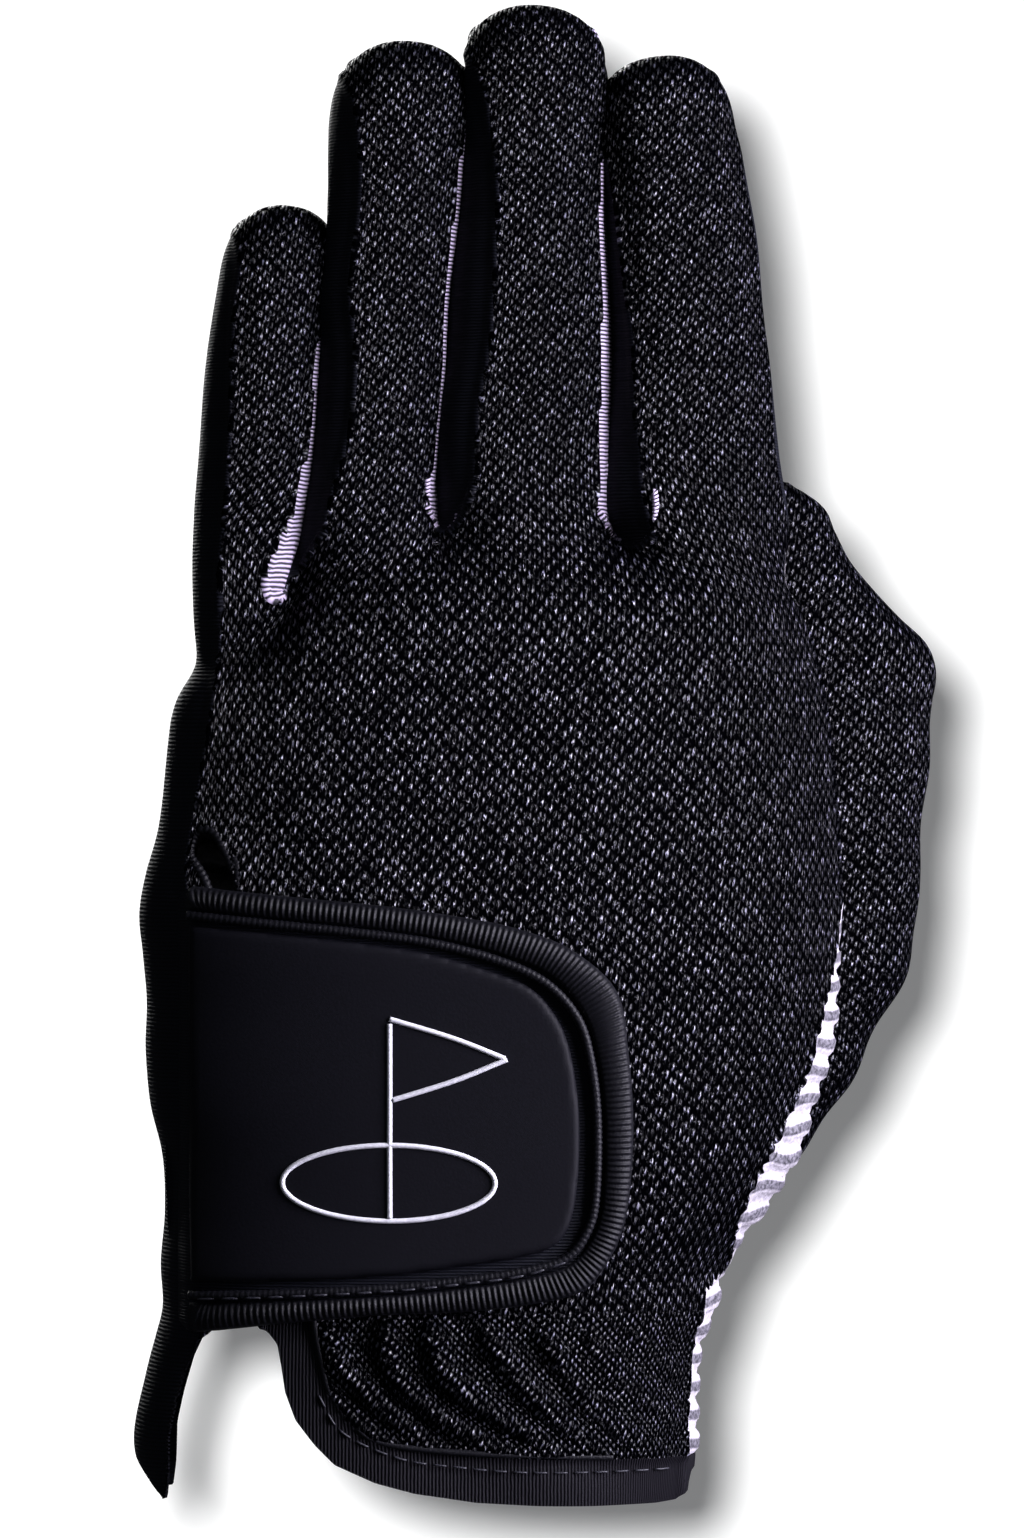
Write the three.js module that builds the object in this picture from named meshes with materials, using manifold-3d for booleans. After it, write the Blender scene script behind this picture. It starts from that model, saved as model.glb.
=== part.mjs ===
// Stretch golf glove for the left hand, worn with the fingers up.
//
// Units are millimetres.  +X points to the thumb side, +Y from the back of the hand
// to the palm, +Z from the wrist to the fingertips.  The origin is the middle of the
// wrist opening.  The knit back, the grip palm and the side strips are thin shells
// sewn edge to edge round a hollow hand, four hollow fingers and a hollow thumb.  A
// hook-and-loop tab closes the slit over the wrist.

import * as THREE from 'three';
import { mergeVertices } from 'three/addons/utils/BufferGeometryUtils.js';
import Module from 'manifold-3d';

const wasm = await Module();
wasm.setup();

// ---------------------------------------------------------------- driving dimensions

const WALL = 1.2;            // thickness of the glove's fabric
const GAP = 0.3;             // room between two pieces that are sewn together
const REACH = 300;           // larger than the glove, for cutting tools
const SQUARE = 2.6;          // squareness of the hand's cross-section, 2 is an ellipse
const ROUND = 2.3;           // squareness of a finger's cross-section
const HAND_SIDES = 32;
const HAND_RINGS = 13;
const FINGER_SIDES = 16;
const FINGER_RINGS = 6;
const TIP_RINGS = 3;
const TIP_FLAT = 0.35;       // share of a ring's step that stays flat at the very tip

// Cross-sections of the hand from the cuff up: height, then the least and greatest X,
// then half the depth from the back to the palm.
const HAND = [
  [0, -43, 41, 16],
  [10, -47, 43, 16.5],
  [28, -43.3, 45.3, 17],
  [45, -42.2, 52.2, 17],
  [62, -44.4, 57.6, 17],
  [80, -44.8, 62.4, 17],
  [94, -46.3, 64.6, 17],
  [107, -43.2, 64.8, 16],
  [122, -41.5, 63.4, 15],
  [140, -39, 60.2, 13.5],
  [150, -37.8, 58, 10.5],
];

// Each finger stands on its knuckle line.  root is the middle of that line as X and Z,
// lean the angle from upright towards the thumb in degrees, length from the knuckle
// line to the tip, wide and deep the half sizes at even steps up the finger.
const FINGERS = {
  index: {
    root: [46.3, 156],
    lean: -6.8,
    length: 76.5,
    wide: [11.4, 12, 11.8, 10.4],
    deep: [9.4, 9.2, 9, 8],
  },
  middle: {
    root: [15.8, 157],
    lean: 0.8,
    length: 83,
    wide: [12.2, 12.6, 11.4, 10.9],
    deep: [9.4, 9.2, 9, 8],
  },
  ring: {
    root: [-9.4, 153],
    lean: 4.5,
    length: 81.5,
    wide: [9, 9, 9.7, 9.3],
    deep: [9.2, 8.8, 8.6, 7.8],
  },
  pinky: {
    root: [-28.8, 146],
    lean: 4.5,
    length: 62.5,
    wide: [9.2, 8.7, 8.5, 8.5],
    deep: [8.8, 7.8, 7.6, 7.2],
  },
};
const KNUCKLE_DEPTH = 26;    // how far each finger's tube runs down inside the hand
const TIP = 9;               // length of the round fingertip
const SIDE_STRIP = 4.2;      // half width of the smooth strip up each side of a finger
const STRIP_END = 13;        // the strips stop this far short of the fingertip

// The thumb is folded in front of the palm: X, Y, Z of its middle line with its half
// width and half depth there.
const THUMB = [
  [55.5, 7.5, 58, 5, 4.5],
  [62, 8.5, 74, 9.5, 7],
  [67, 9, 93, 11.6, 8],
  [68.8, 10, 113, 11.6, 8],
  [69.2, 12, 128, 11.8, 7.4],
  [62.5, 15.8, 143, 10.6, 6.6],
  [56.6, 18.2, 151, 10, 6.2],
];
const THUMB_TIP = 8.5;
const THUMB_CLEAR = 0.5;     // room between the thumb and the hand that it swings past
const THUMB_SPLIT = 10;      // depth of the seam between the thumb's back and its palm

// Closure on the back of the wrist, as heights above the hand's surface.
const LOOP_LAYER = [0.3, 1.1];
const HOOK_LAYER = [1.4, 2.2];
const STRAP_LAYER = [2.5, 3.5];
const PATCH_LAYER = [3.8, 4.9];
const WELT_LAYER = [3.8, 5.1];
const EMBLEM_LAYER = [5.2, 5.7];
const PATCH_FLAT = 21.6;     // depth of the flat face that is moulded on the patch
const EMBLEM_LINE = 1;       // width of the emblem's raised line
const GREEN = { x: -6, z: 52, wide: 17, high: 6.5, corners: 18 };
const FLAG = { left: -6.5, tip: 13, top: 78.5, foot: 64.5 };
const FLAG_HOLE = { left: -5.5, tip: 10, top: 76.9, foot: 66.1 };

// Outlines on the back of the hand, as X, Z and the radius of the corner there.
const TAB = [[-40.5, 98.9, 1], [33, 92.5, 20], [31.6, 31.5, 11], [-40.5, 27.8, 1]];
const TAB_INNER = [[-38.6, 95.6, 1], [29.3, 89.5, 18], [28.2, 36.2, 10], [-38.6, 32.4, 1]];
const WELT_OUTER = [[-38.2, 95.3, 1], [29, 89.2, 18], [27.9, 36.6, 9.5], [-38.2, 32.8, 1]];
const WELT_INNER = [[-37.2, 93.1, 1], [26.6, 87, 17], [25.6, 39, 8.5], [-37.2, 35.6, 1]];
const PATCH = [[-36.8, 92.7, 1], [24.6, 86.2, 16.5], [23.6, 40.4, 8], [-36.8, 36, 1]];
const LOOP_PAD = [[-20, 92, 3], [31, 90, 18], [30, 33, 10], [-20, 33, 3]];
const HOOK_PAD = [[-16, 91, 3], [27, 88.5, 16], [26, 36, 9], [-16, 36, 3]];
const SLIT = [[-39, 108.8, 4], [-30.6, 107.2, 4], [-25.6, 20, 0.5], [-30.4, 20, 0.5], [-35, 98, 2]];
const SLIT_LINING = 1.1;     // width of the binding round the slit
const BAR_TACK = [[-41.6, 105, 0.5], [-39.6, 105, 0.5], [-38, 97, 0.5], [-40, 97, 0.5]];

// Cut-away between the tail and the cuff, and the two lines of the cuff.
const NOTCH = [[-42.6, -6, 0.5], [-41.6, 10.5, 6], [-36.6, 28.6, 6], [-24.4, 28.6, 5],
  [-21.4, 9, 12], [8, -0.4, 10], [12, -6, 0.5]];
const CUFF_BAND = [[-26.5, 29.4, 0.5], [-18.2, 29.4, 1], [-15, 12, 9], [2, 8.6, 20], [60, 7.4, 1],
  [60, -10, 1], [-30, -10, 1]];
const GATHER_TOP = 31;       // the shirred panel ends here, under the tab
const ELASTIC = [[-24, 40, 1], [39, 40, 1], [39, 31, 1], [-24, 31, 1]];
const ELASTIC_THICK = 0.8;
const SLIT_MIDDLE = -27;     // the shirred panel lies on the thumb side of this line
const CAVITY_BELOW = 5;      // how far the hollow's cutting tool runs on below the cuff

// Seams between the back, the palm and the side panel, as places in depth.
const SIDE_PANEL_HALF = 8;
const SIDE_PANEL_X = -22;
const THUMB_SEAM = -3;

const CLOTH_BLACK = 0x0d0d12;
const BACK_KNIT = material(CLOTH_BLACK, 0.85);
const SIDE_LYCRA = material(0x17161f, 0.7);
const GRIP_PALM = material(0xc9c8cc, 0.6);
const RUBBER = material(0x1b1b20, 0.45);
const ELASTIC_WEB = material(0x101014, 0.8);
const HOOK_TAPE = material(0x141417, 0.75);
const WHITE_PRINT = material(0xe9e9ea, 0.5);

function material(colour, roughness) {
  return new THREE.MeshStandardMaterial({ color: colour, roughness, metalness: 0 });
}

// ------------------------------------------------------------------- making solids

function solid(geometry) {
  geometry.deleteAttribute('normal');
  geometry.deleteAttribute('uv');
  const merged = mergeVertices(geometry, 1e-5);
  return new wasm.Manifold(new wasm.Mesh({
    numProp: 3,
    vertProperties: new Float32Array(merged.attributes.position.array),
    triVerts: new Uint32Array(merged.index.array),
  }));
}

// A sewn piece.  Cutting the shells leaves small loose offcuts, which are swept away.
function piece(name, body, look) {
  const bodies = body.decompose().sort((a, b) => b.volume() - a.volume());
  const cut = bodies[0].getMesh();
  const geometry = new THREE.BufferGeometry();
  geometry.setAttribute('position', new THREE.BufferAttribute(cut.vertProperties, 3));
  geometry.setIndex(new THREE.BufferAttribute(cut.triVerts, 1));
  const mesh = new THREE.Mesh(geometry, look);
  mesh.name = name;
  return mesh;
}

function joinAll(bodies) {
  return bodies.reduce((all, body) => all.add(body));
}

function block(low, high) {
  const size = high.map((end, i) => end - low[i]);
  const geometry = new THREE.BoxGeometry(...size);
  geometry.translate(...low.map((start, i) => start + size[i] / 2));
  return solid(geometry);
}

// Outline whose corners are rounded, from a list of [x, z, radius].
function rounded(corners) {
  const shape = new THREE.Shape();
  corners.forEach(([x, z, radius], i) => {
    const here = new THREE.Vector2(x, z);
    const before = new THREE.Vector2(...corners.at(i - 1).slice(0, 2)).sub(here);
    const after = new THREE.Vector2(...corners[(i + 1) % corners.length].slice(0, 2)).sub(here);
    const start = here.clone().addScaledVector(before, Math.min(0.48, radius / before.length()));
    const end = here.clone().addScaledVector(after, Math.min(0.48, radius / after.length()));
    if (i === 0) {
      shape.moveTo(start.x, start.y);
    } else {
      shape.lineTo(start.x, start.y);
    }
    shape.quadraticCurveTo(x, z, end.x, end.y);
  });
  shape.closePath();
  return shape;
}

// Straight-sided tool that cuts an outline given in X and Z right along Y.
function prism(corners, from = -REACH, to = REACH) {
  const geometry = new THREE.ExtrudeGeometry(rounded(corners), {
    depth: to - from, bevelEnabled: false, curveSegments: 5,
  });
  geometry.rotateX(Math.PI / 2);
  geometry.translate(0, to, 0);
  return solid(geometry);
}

// Straight-sided tool from an outline given in X and Y, along all of Z.
function column(points) {
  const shape = new THREE.Shape(points.map(([x, y]) => new THREE.Vector2(x, y)));
  const geometry = new THREE.ExtrudeGeometry(shape, { depth: 2 * REACH, bevelEnabled: false });
  geometry.translate(0, 0, -REACH);
  return solid(geometry);
}

// Closed tube through oval rings.  Each ring is { middle, side, wide, deep }: side is the
// direction of its width, and its depth always runs along Y.
function tube(rings, sides, power) {
  const positions = [];
  const index = [];
  for (const { middle, side, wide, deep } of rings) {
    for (let i = 0; i < sides; i += 1) {
      const turn = (2 * Math.PI * i) / sides;
      const c = Math.cos(turn);
      const s = Math.sin(turn);
      const across = wide * Math.sign(c) * Math.abs(c) ** (2 / power);
      const through = deep * Math.sign(s) * Math.abs(s) ** (2 / power);
      positions.push(
        middle.x + side.x * across,
        middle.y + side.y * across + through,
        middle.z + side.z * across,
      );
    }
  }
  const low = rings.length * sides;
  positions.push(...rings[0].middle.toArray(), ...rings.at(-1).middle.toArray());
  for (let i = 0; i < sides; i += 1) {
    const next = (i + 1) % sides;
    index.push(low, next, i, low + 1, low - sides + i, low - sides + next);
    for (let r = 0; r < rings.length - 1; r += 1) {
      const a = r * sides + i;
      const b = r * sides + next;
      index.push(a, b, b + sides, a, b + sides, a + sides);
    }
  }
  const geometry = new THREE.BufferGeometry();
  geometry.setAttribute('position', new THREE.Float32BufferAttribute(positions, 3));
  geometry.setIndex(index);
  return solid(geometry);
}

// ------------------------------------------------------------------ the bare forms

// The hand grown by a distance all round.  A cavity runs on below the cuff, and its top
// stays a wall's thickness under the top of the hand.
function hand(grow, below = 0) {
  const line = new THREE.CatmullRomCurve3(
    HAND.map(([z, left, right]) => new THREE.Vector3((left + right) / 2, 0, z)),
  );
  const size = new THREE.CatmullRomCurve3(
    HAND.map(([, left, right, deep]) => new THREE.Vector3((right - left) / 2, deep, 0)),
  );
  const rings = [];
  for (let r = 0; r <= HAND_RINGS; r += 1) {
    const middle = line.getPoint(r / HAND_RINGS);
    const { x: wide, y: deep } = size.getPoint(r / HAND_RINGS);
    rings.push({ middle, side: new THREE.Vector3(1, 0, 0), wide: wide + grow, deep: deep + grow });
  }
  rings[0].middle.z -= below;
  rings.at(-1).middle.z += grow;
  return tube(rings, HAND_SIDES, SQUARE);
}

// A round tip: the last ring shrinks to a dome along its own direction.
function addTip(rings, length) {
  const { middle, side, wide, deep } = rings.at(-1);
  const ahead = middle.clone().sub(rings.at(-2).middle).normalize();
  for (let r = 1; r <= TIP_RINGS; r += 1) {
    const turn = (r / (TIP_RINGS + TIP_FLAT)) * (Math.PI / 2);
    rings.push({
      middle: middle.clone().addScaledVector(ahead, length * Math.sin(turn)),
      side,
      wide: wide * Math.cos(turn),
      deep: deep * Math.cos(turn),
    });
  }
}

// A finger in its own frame: the knuckle line's middle at zero, the finger along Z.
function finger({ length, wide, deep }, grow) {
  const size = new THREE.CatmullRomCurve3(
    wide.map((half, i) => new THREE.Vector3(half, deep[i], 0)),
  );
  const side = new THREE.Vector3(1, 0, 0);
  const rings = [];
  for (let r = 0; r <= FINGER_RINGS; r += 1) {
    const t = r / FINGER_RINGS;
    const half = size.getPoint(t);
    const middle = new THREE.Vector3(0, 0, t * (length - TIP));
    rings.push({ middle, side, wide: half.x + grow, deep: half.y + grow });
  }
  rings.unshift({ ...rings[0], middle: new THREE.Vector3(0, 0, -KNUCKLE_DEPTH + grow) });
  addTip(rings, TIP + grow);
  return tube(rings, FINGER_SIDES, ROUND);
}

function fingerFrame({ root, lean }) {
  const turn = new THREE.Matrix4().makeRotationY(THREE.MathUtils.degToRad(lean));
  return turn.setPosition(root[0], 0, root[1]);
}

function thumb(grow) {
  const line = new THREE.CatmullRomCurve3(THUMB.map(([x, y, z]) => new THREE.Vector3(x, y, z)));
  const size = new THREE.CatmullRomCurve3(
    THUMB.map(([, , , wide, deep]) => new THREE.Vector3(wide, deep, 0)),
  );
  const rings = [];
  const steps = THUMB.length + 1;
  for (let r = 0; r <= steps; r += 1) {
    const ahead = line.getTangent(r / steps);
    const half = size.getPoint(r / steps);
    rings.push({
      middle: line.getPoint(r / steps),
      side: new THREE.Vector3(ahead.z, 0, -ahead.x).normalize(),
      wide: half.x + grow,
      deep: half.y + grow,
    });
  }
  addTip(rings, THUMB_TIP + grow);
  return tube(rings, FINGER_SIDES, ROUND);
}

// A thin layer that lies over the back of the hand inside an outline.
function layer(corners, [inner, outer]) {
  return hand(outer).subtract(hand(inner)).intersect(prism(corners, -REACH, 0));
}

// ------------------------------------------------------------------------- fingers

// The shell of one finger is cut into the knit back, the grip palm and two side strips.
// Seen from the side, the seams run straight up the finger and meet short of the tip.
function fingerPieces(name, spec) {
  const ahead = block([-REACH, -REACH, GAP], [REACH, REACH, REACH]);
  const shell = finger(spec, 0).subtract(finger(spec, -WALL)).intersect(ahead);
  const end = spec.length - STRIP_END;
  const half = GAP / 2;
  const sideView = (points) => {
    const shape = new THREE.Shape(points.map(([y, z]) => new THREE.Vector2(y, z)));
    const geometry = new THREE.ExtrudeGeometry(shape, { depth: 2 * REACH, bevelEnabled: false });
    geometry.translate(0, 0, -REACH);
    geometry.applyMatrix4(new THREE.Matrix4().set(0, 0, 1, 0, 1, 0, 0, 0, 0, 1, 0, 0, 0, 0, 0, 1));
    return solid(geometry);
  };
  const palmTool = sideView([
    [SIDE_STRIP + GAP, -1], [REACH, -1], [REACH, REACH], [half, REACH],
    [half, end + GAP + SIDE_STRIP], [SIDE_STRIP + GAP, end],
  ]);
  const backTool = sideView([
    [-SIDE_STRIP - GAP, -1], [-SIDE_STRIP - GAP, end], [-half, end + GAP + SIDE_STRIP],
    [-half, REACH], [-REACH, REACH], [-REACH, -1],
  ]);
  const stripTool = sideView([
    [-SIDE_STRIP, -1], [SIDE_STRIP, -1], [SIDE_STRIP, end - GAP], [0, end - GAP + SIDE_STRIP],
    [-SIDE_STRIP, end - GAP],
  ]);
  const strips = shell.intersect(stripTool);
  const thumbSide = block([0, -REACH, -REACH], [REACH, REACH, REACH]);
  const group = new THREE.Group();
  group.add(
    piece(`${name}_back`, shell.intersect(backTool), BACK_KNIT),
    piece(`${name}_palm`, shell.intersect(palmTool), GRIP_PALM),
    piece(`${name}_strip_thumb_side`, strips.intersect(thumbSide), SIDE_LYCRA),
    piece(`${name}_strip_little_side`, strips.subtract(thumbSide), SIDE_LYCRA),
  );
  group.applyMatrix4(fingerFrame(spec));
  return group;
}

// ---------------------------------------------------------------------------- hand

const inWorld = (spec, body) => body.transform(fingerFrame(spec).elements);
const specs = Object.values(FINGERS);

const knuckles = specs.map((spec) => {
  const under = block([-REACH, -REACH, -REACH], [REACH, REACH, -GAP]);
  return inWorld(spec, finger(spec, 0).intersect(under));
});
const fingerCavities = specs.map((spec) => inWorld(spec, finger(spec, -WALL)));
// Room that each finger needs above its knuckle line, from a given height.
const fingerRooms = (from) => joinAll(specs.map((spec) => {
  const reach = spec.wide[0] + 1;
  return inWorld(spec, block([-reach, -REACH, from], [reach, REACH, REACH]));
}));

const handShell = joinAll([hand(0).subtract(fingerRooms(-GAP)), ...knuckles])
  .subtract(hand(-WALL, CAVITY_BELOW).subtract(fingerRooms(-GAP - WALL)))
  .subtract(joinAll(fingerCavities))
  .subtract(thumb(-WALL))
  .subtract(prism(NOTCH));

const half = GAP / 2;
const backTool = column([
  [-REACH, -SIDE_PANEL_HALF - half], [SIDE_PANEL_X, -SIDE_PANEL_HALF - half],
  [SIDE_PANEL_X, THUMB_SEAM - half], [REACH, THUMB_SEAM - half], [REACH, -REACH], [-REACH, -REACH],
]);
const palmTool = column([
  [-REACH, SIDE_PANEL_HALF + half], [SIDE_PANEL_X, SIDE_PANEL_HALF + half],
  [SIDE_PANEL_X, THUMB_SEAM + half], [REACH, THUMB_SEAM + half], [REACH, REACH], [-REACH, REACH],
]);
const sideTool = column([
  [-REACH, -SIDE_PANEL_HALF + half], [SIDE_PANEL_X - GAP, -SIDE_PANEL_HALF + half],
  [SIDE_PANEL_X - GAP, SIDE_PANEL_HALF - half], [-REACH, SIDE_PANEL_HALF - half],
]);

const grownCuff = CUFF_BAND.map(([x, z, radius], i) => [
  x + (i === 1 || i === 2 ? GAP : 0) - (i === 0 ? GAP : 0), z + GAP, radius]);
const cuffTool = prism(grownCuff);
const gatherTool = block([-REACH, -REACH, -REACH], [REACH, 0, GATHER_TOP]);
const insetSlit = (by) => prism(
  SLIT.map(([x, z, radius], i) => [
    x + (i === 1 || i === 2 ? -by : by), i < 2 ? z - by : z, radius]),
  -REACH,
  0,
);
const liningTool = insetSlit(GAP).subtract(insetSlit(GAP + SLIT_LINING));

const backAll = handShell.intersect(backTool).subtract(insetSlit(0));
const aboveGather = block([-REACH, -REACH, GATHER_TOP + GAP], [REACH, REACH, REACH]);
const thumbSideOfSlit = block([SLIT_MIDDLE, -REACH, -REACH], [REACH, REACH, REACH]);
const gather = backAll.intersect(gatherTool).intersect(thumbSideOfSlit).subtract(cuffTool);
const slitLining = hand(0).subtract(hand(-WALL)).intersect(liningTool);
const insideHand = hand(-WALL - GAP);
const wristElastic = insideHand.subtract(hand(-WALL - GAP - ELASTIC_THICK));

const handGroup = new THREE.Group();
handGroup.add(
  piece('back_panel', backAll.intersect(aboveGather).subtract(cuffTool), BACK_KNIT),
  piece('palm_panel', handShell.intersect(palmTool).subtract(cuffTool), GRIP_PALM),
  piece('side_panel', handShell.intersect(sideTool).subtract(cuffTool), SIDE_LYCRA),
  piece('cuff_gather', gather, BACK_KNIT),
  piece('cuff_binding', handShell.intersect(prism(CUFF_BAND)), ELASTIC_WEB),
  piece('slit_binding', slitLining.intersect(aboveGather), ELASTIC_WEB),
  piece('loop_pad', layer(LOOP_PAD, LOOP_LAYER), HOOK_TAPE),
  piece('bar_tack', layer(BAR_TACK, LOOP_LAYER), ELASTIC_WEB),
  piece('wrist_elastic', wristElastic.intersect(prism(ELASTIC, GAP, REACH)), ELASTIC_WEB),
);

// ----------------------------------------------------------------------------- tab

// Plain golf pennant standing on a green, drawn as a raised line.
function emblem() {
  const oval = (inset) => {
    const corners = [];
    for (let i = 0; i < GREEN.corners; i += 1) {
      const turn = (2 * Math.PI * i) / GREEN.corners;
      corners.push([
        GREEN.x + (GREEN.wide - inset) * Math.cos(turn),
        GREEN.z + (GREEN.high - inset) * Math.sin(turn),
        GAP,
      ]);
    }
    return prism(corners, -REACH, 0);
  };
  const pennant = ({ left, tip, top, foot }) => prism(
    [[left, top, 0], [tip, (top + foot) / 2, 0], [left, foot, 0]],
    -REACH,
    0,
  );
  const poleFoot = GREEN.z - GREEN.high + EMBLEM_LINE / 2;
  const pole = block([FLAG.left, -REACH, poleFoot], [FLAG.left + EMBLEM_LINE, 0, FLAG.top]);
  const drawing = oval(0)
    .subtract(oval(EMBLEM_LINE))
    .add(pole)
    .add(pennant(FLAG).subtract(pennant(FLAG_HOLE)));
  return hand(EMBLEM_LAYER[1]).subtract(hand(EMBLEM_LAYER[0])).intersect(drawing);
}

const patchFace = block([-REACH, -PATCH_FLAT, -REACH], [REACH, REACH, REACH]);
const bindingHole = prism(TAB_INNER.map(([x, z, radius], i) => [
  x + (i === 1 || i === 2 ? GAP : -GAP), z + (i < 2 ? GAP : -GAP), radius]));
const bindingBand = layer(TAB, [STRAP_LAYER[0], WELT_LAYER[0]]);
const tabGroup = new THREE.Group();
tabGroup.add(
  piece('tab_hook_pad', layer(HOOK_PAD, HOOK_LAYER), HOOK_TAPE),
  piece('tab_strap', layer(TAB_INNER, STRAP_LAYER), BACK_KNIT),
  piece('tab_binding', bindingBand.subtract(bindingHole), ELASTIC_WEB),
  piece('tab_welt', layer(WELT_OUTER, WELT_LAYER).subtract(prism(WELT_INNER)), ELASTIC_WEB),
  piece('tab_patch', layer(PATCH, PATCH_LAYER).intersect(patchFace), RUBBER),
  piece('tab_emblem', emblem(), WHITE_PRINT),
);

// --------------------------------------------------------------------------- thumb

const thumbShell = thumb(0).subtract(thumb(-WALL)).subtract(hand(THUMB_CLEAR));
const thumbFront = block([-REACH, -REACH, -REACH], [REACH, THUMB_SPLIT, REACH]);
const thumbRear = block([-REACH, THUMB_SPLIT + GAP, -REACH], [REACH, REACH, REACH]);
const thumbGroup = new THREE.Group();
thumbGroup.add(
  piece('thumb_back', thumbShell.intersect(thumbFront), BACK_KNIT),
  piece('thumb_palm', thumbShell.intersect(thumbRear), GRIP_PALM),
);

// --------------------------------------------------------------------------- glove

const glove = new THREE.Group();
glove.add(handGroup, tabGroup, thumbGroup);
for (const [name, spec] of Object.entries(FINGERS)) {
  glove.add(fingerPieces(name, spec));
}

export default glove;
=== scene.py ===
# Stretch golf glove for the left hand, seen from the back of the hand with the fingers up.
# The frame's axes: +X to the thumb side, +Y from the back of the hand to the palm, +Z up.

import math

import bpy
import numpy as np
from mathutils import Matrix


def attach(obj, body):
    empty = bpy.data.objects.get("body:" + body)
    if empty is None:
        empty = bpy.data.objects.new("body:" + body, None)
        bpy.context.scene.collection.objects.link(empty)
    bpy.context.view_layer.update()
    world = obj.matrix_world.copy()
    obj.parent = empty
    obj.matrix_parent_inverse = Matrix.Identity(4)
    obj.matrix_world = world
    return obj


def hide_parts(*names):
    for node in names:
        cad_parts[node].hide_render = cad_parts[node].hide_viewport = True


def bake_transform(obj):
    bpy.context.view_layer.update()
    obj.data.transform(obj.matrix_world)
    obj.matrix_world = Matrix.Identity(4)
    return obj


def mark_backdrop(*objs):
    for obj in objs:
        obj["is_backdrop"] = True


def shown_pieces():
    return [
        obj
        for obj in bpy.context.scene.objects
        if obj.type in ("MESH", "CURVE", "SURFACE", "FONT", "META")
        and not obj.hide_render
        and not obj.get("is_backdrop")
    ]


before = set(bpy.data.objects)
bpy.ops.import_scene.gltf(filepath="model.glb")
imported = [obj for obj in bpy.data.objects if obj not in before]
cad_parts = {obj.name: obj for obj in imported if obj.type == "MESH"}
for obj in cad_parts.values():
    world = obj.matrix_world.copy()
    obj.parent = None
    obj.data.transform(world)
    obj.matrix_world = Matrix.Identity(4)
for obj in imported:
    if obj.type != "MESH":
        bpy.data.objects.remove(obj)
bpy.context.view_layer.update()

import openvdb
from mathutils import Vector

MM = 0.001


# ------------------------------------------------------------------ camera and studio
# The view square onto the back of the hand, through a long lens so that the glove keeps
# its own outline.
VIEW_HEIGHT = 0.2475
LENS = 135
SENSOR = 36

camera = bpy.data.objects.new("camera", bpy.data.cameras.new("camera"))
bpy.context.scene.collection.objects.link(camera)
bpy.context.scene.camera = camera
camera.data.lens = LENS
camera.data.sensor_width = SENSOR
camera_distance = VIEW_HEIGHT / 2 * LENS / (SENSOR / 2)
camera.location = (0.0132, -camera_distance - 0.006, 0.1176)
camera.rotation_euler = (math.radians(90), 0, 0)


def linear(hex_colour):
    """An sRGB hex colour as linear light, for a shader's socket."""
    parts = [int(hex_colour[i:i + 2], 16) / 255 for i in (1, 3, 5)]
    parts = [c / 12.92 if c <= 0.04045 else ((c + 0.055) / 1.055) ** 2.4 for c in parts]
    return (*parts, 1.0)


def soft_light(name, place, aim, size, watts, colour="#ffffff"):
    """A square soft box that shines from one place towards another."""
    data = bpy.data.lights.new(name, "AREA")
    data.size = size
    data.energy = watts
    data.color = linear(colour)[:3]
    lamp = bpy.data.objects.new(name, data)
    bpy.context.scene.collection.objects.link(lamp)
    lamp.location = place
    lamp.rotation_euler = (Vector(aim) - Vector(place)).to_track_quat("-Z", "Y").to_euler()
    return lamp


bpy.context.scene.view_settings.view_transform = "Standard"
world = bpy.data.worlds.new("studio")
bpy.context.scene.world = world
world.use_nodes = True
world.node_tree.nodes["Background"].inputs["Color"].default_value = linear("#dfe4ee")
world.node_tree.nodes["Background"].inputs["Strength"].default_value = 0.06

lamps = [
    soft_light("key", (0.47, -0.26, 0.34), (0.03, 0, 0.12), 0.25, 7.2, "#f4f1ff"),
    soft_light("right", (0.8, -0.3, 0.12), (0.05, 0, 0.11), 0.35, 12, "#ece6ff"),
    soft_light("fill", (-0.7, -0.9, 0.4), (0, 0, 0.12), 0.8, 0.5, "#d3deff"),
    soft_light("back", (-0.3, 0.9, 0.5), (0, 0, 0.12), 0.6, 7),
]
receivers = bpy.data.collections.new("glove_only")
for lamp in lamps:
    lamp.light_linking.receiver_collection = receivers

# The backdrop is white card: a far wall that takes a soft shadow from one small lamp
# beside the camera, a floor, and a white surround that only the camera sees.
WALL_AT = 1.9
SHADOW_SHIFT = (-0.0095, 0.0088)
wall_mesh = bpy.data.meshes.new("wall")
wall_mesh.from_pydata([(-2, WALL_AT, -0.32), (2, WALL_AT, -0.32), (2, WALL_AT, 2.4),
                       (-2, WALL_AT, 2.4)], [], [(0, 1, 2, 3)])
floor_mesh = bpy.data.meshes.new("floor")
floor_mesh.from_pydata([(-2, -2, -0.32), (2, -2, -0.32), (2, WALL_AT, -0.32),
                        (-2, WALL_AT, -0.32)], [], [(0, 1, 2, 3)])
card = bpy.data.materials.new("white_card")
card.use_nodes = True
tree = card.node_tree
shader = tree.nodes["Principled BSDF"]
shader.inputs["Base Color"].default_value = linear("#f4f4f4")
shader.inputs["Roughness"].default_value = 0.9
shader.inputs["Specular IOR Level"].default_value = 0
shader.inputs["Emission Color"].default_value = linear("#ffffff")
shader.inputs["Emission Strength"].default_value = 0.17
backdrop = []
for mesh in (wall_mesh, floor_mesh):
    mesh.materials.append(card)
    backdrop.append(bpy.data.objects.new(mesh.name, mesh))
glow = bpy.data.materials.new("white_surround")
glow.use_nodes = True
glow.node_tree.nodes.remove(glow.node_tree.nodes["Principled BSDF"])
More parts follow.
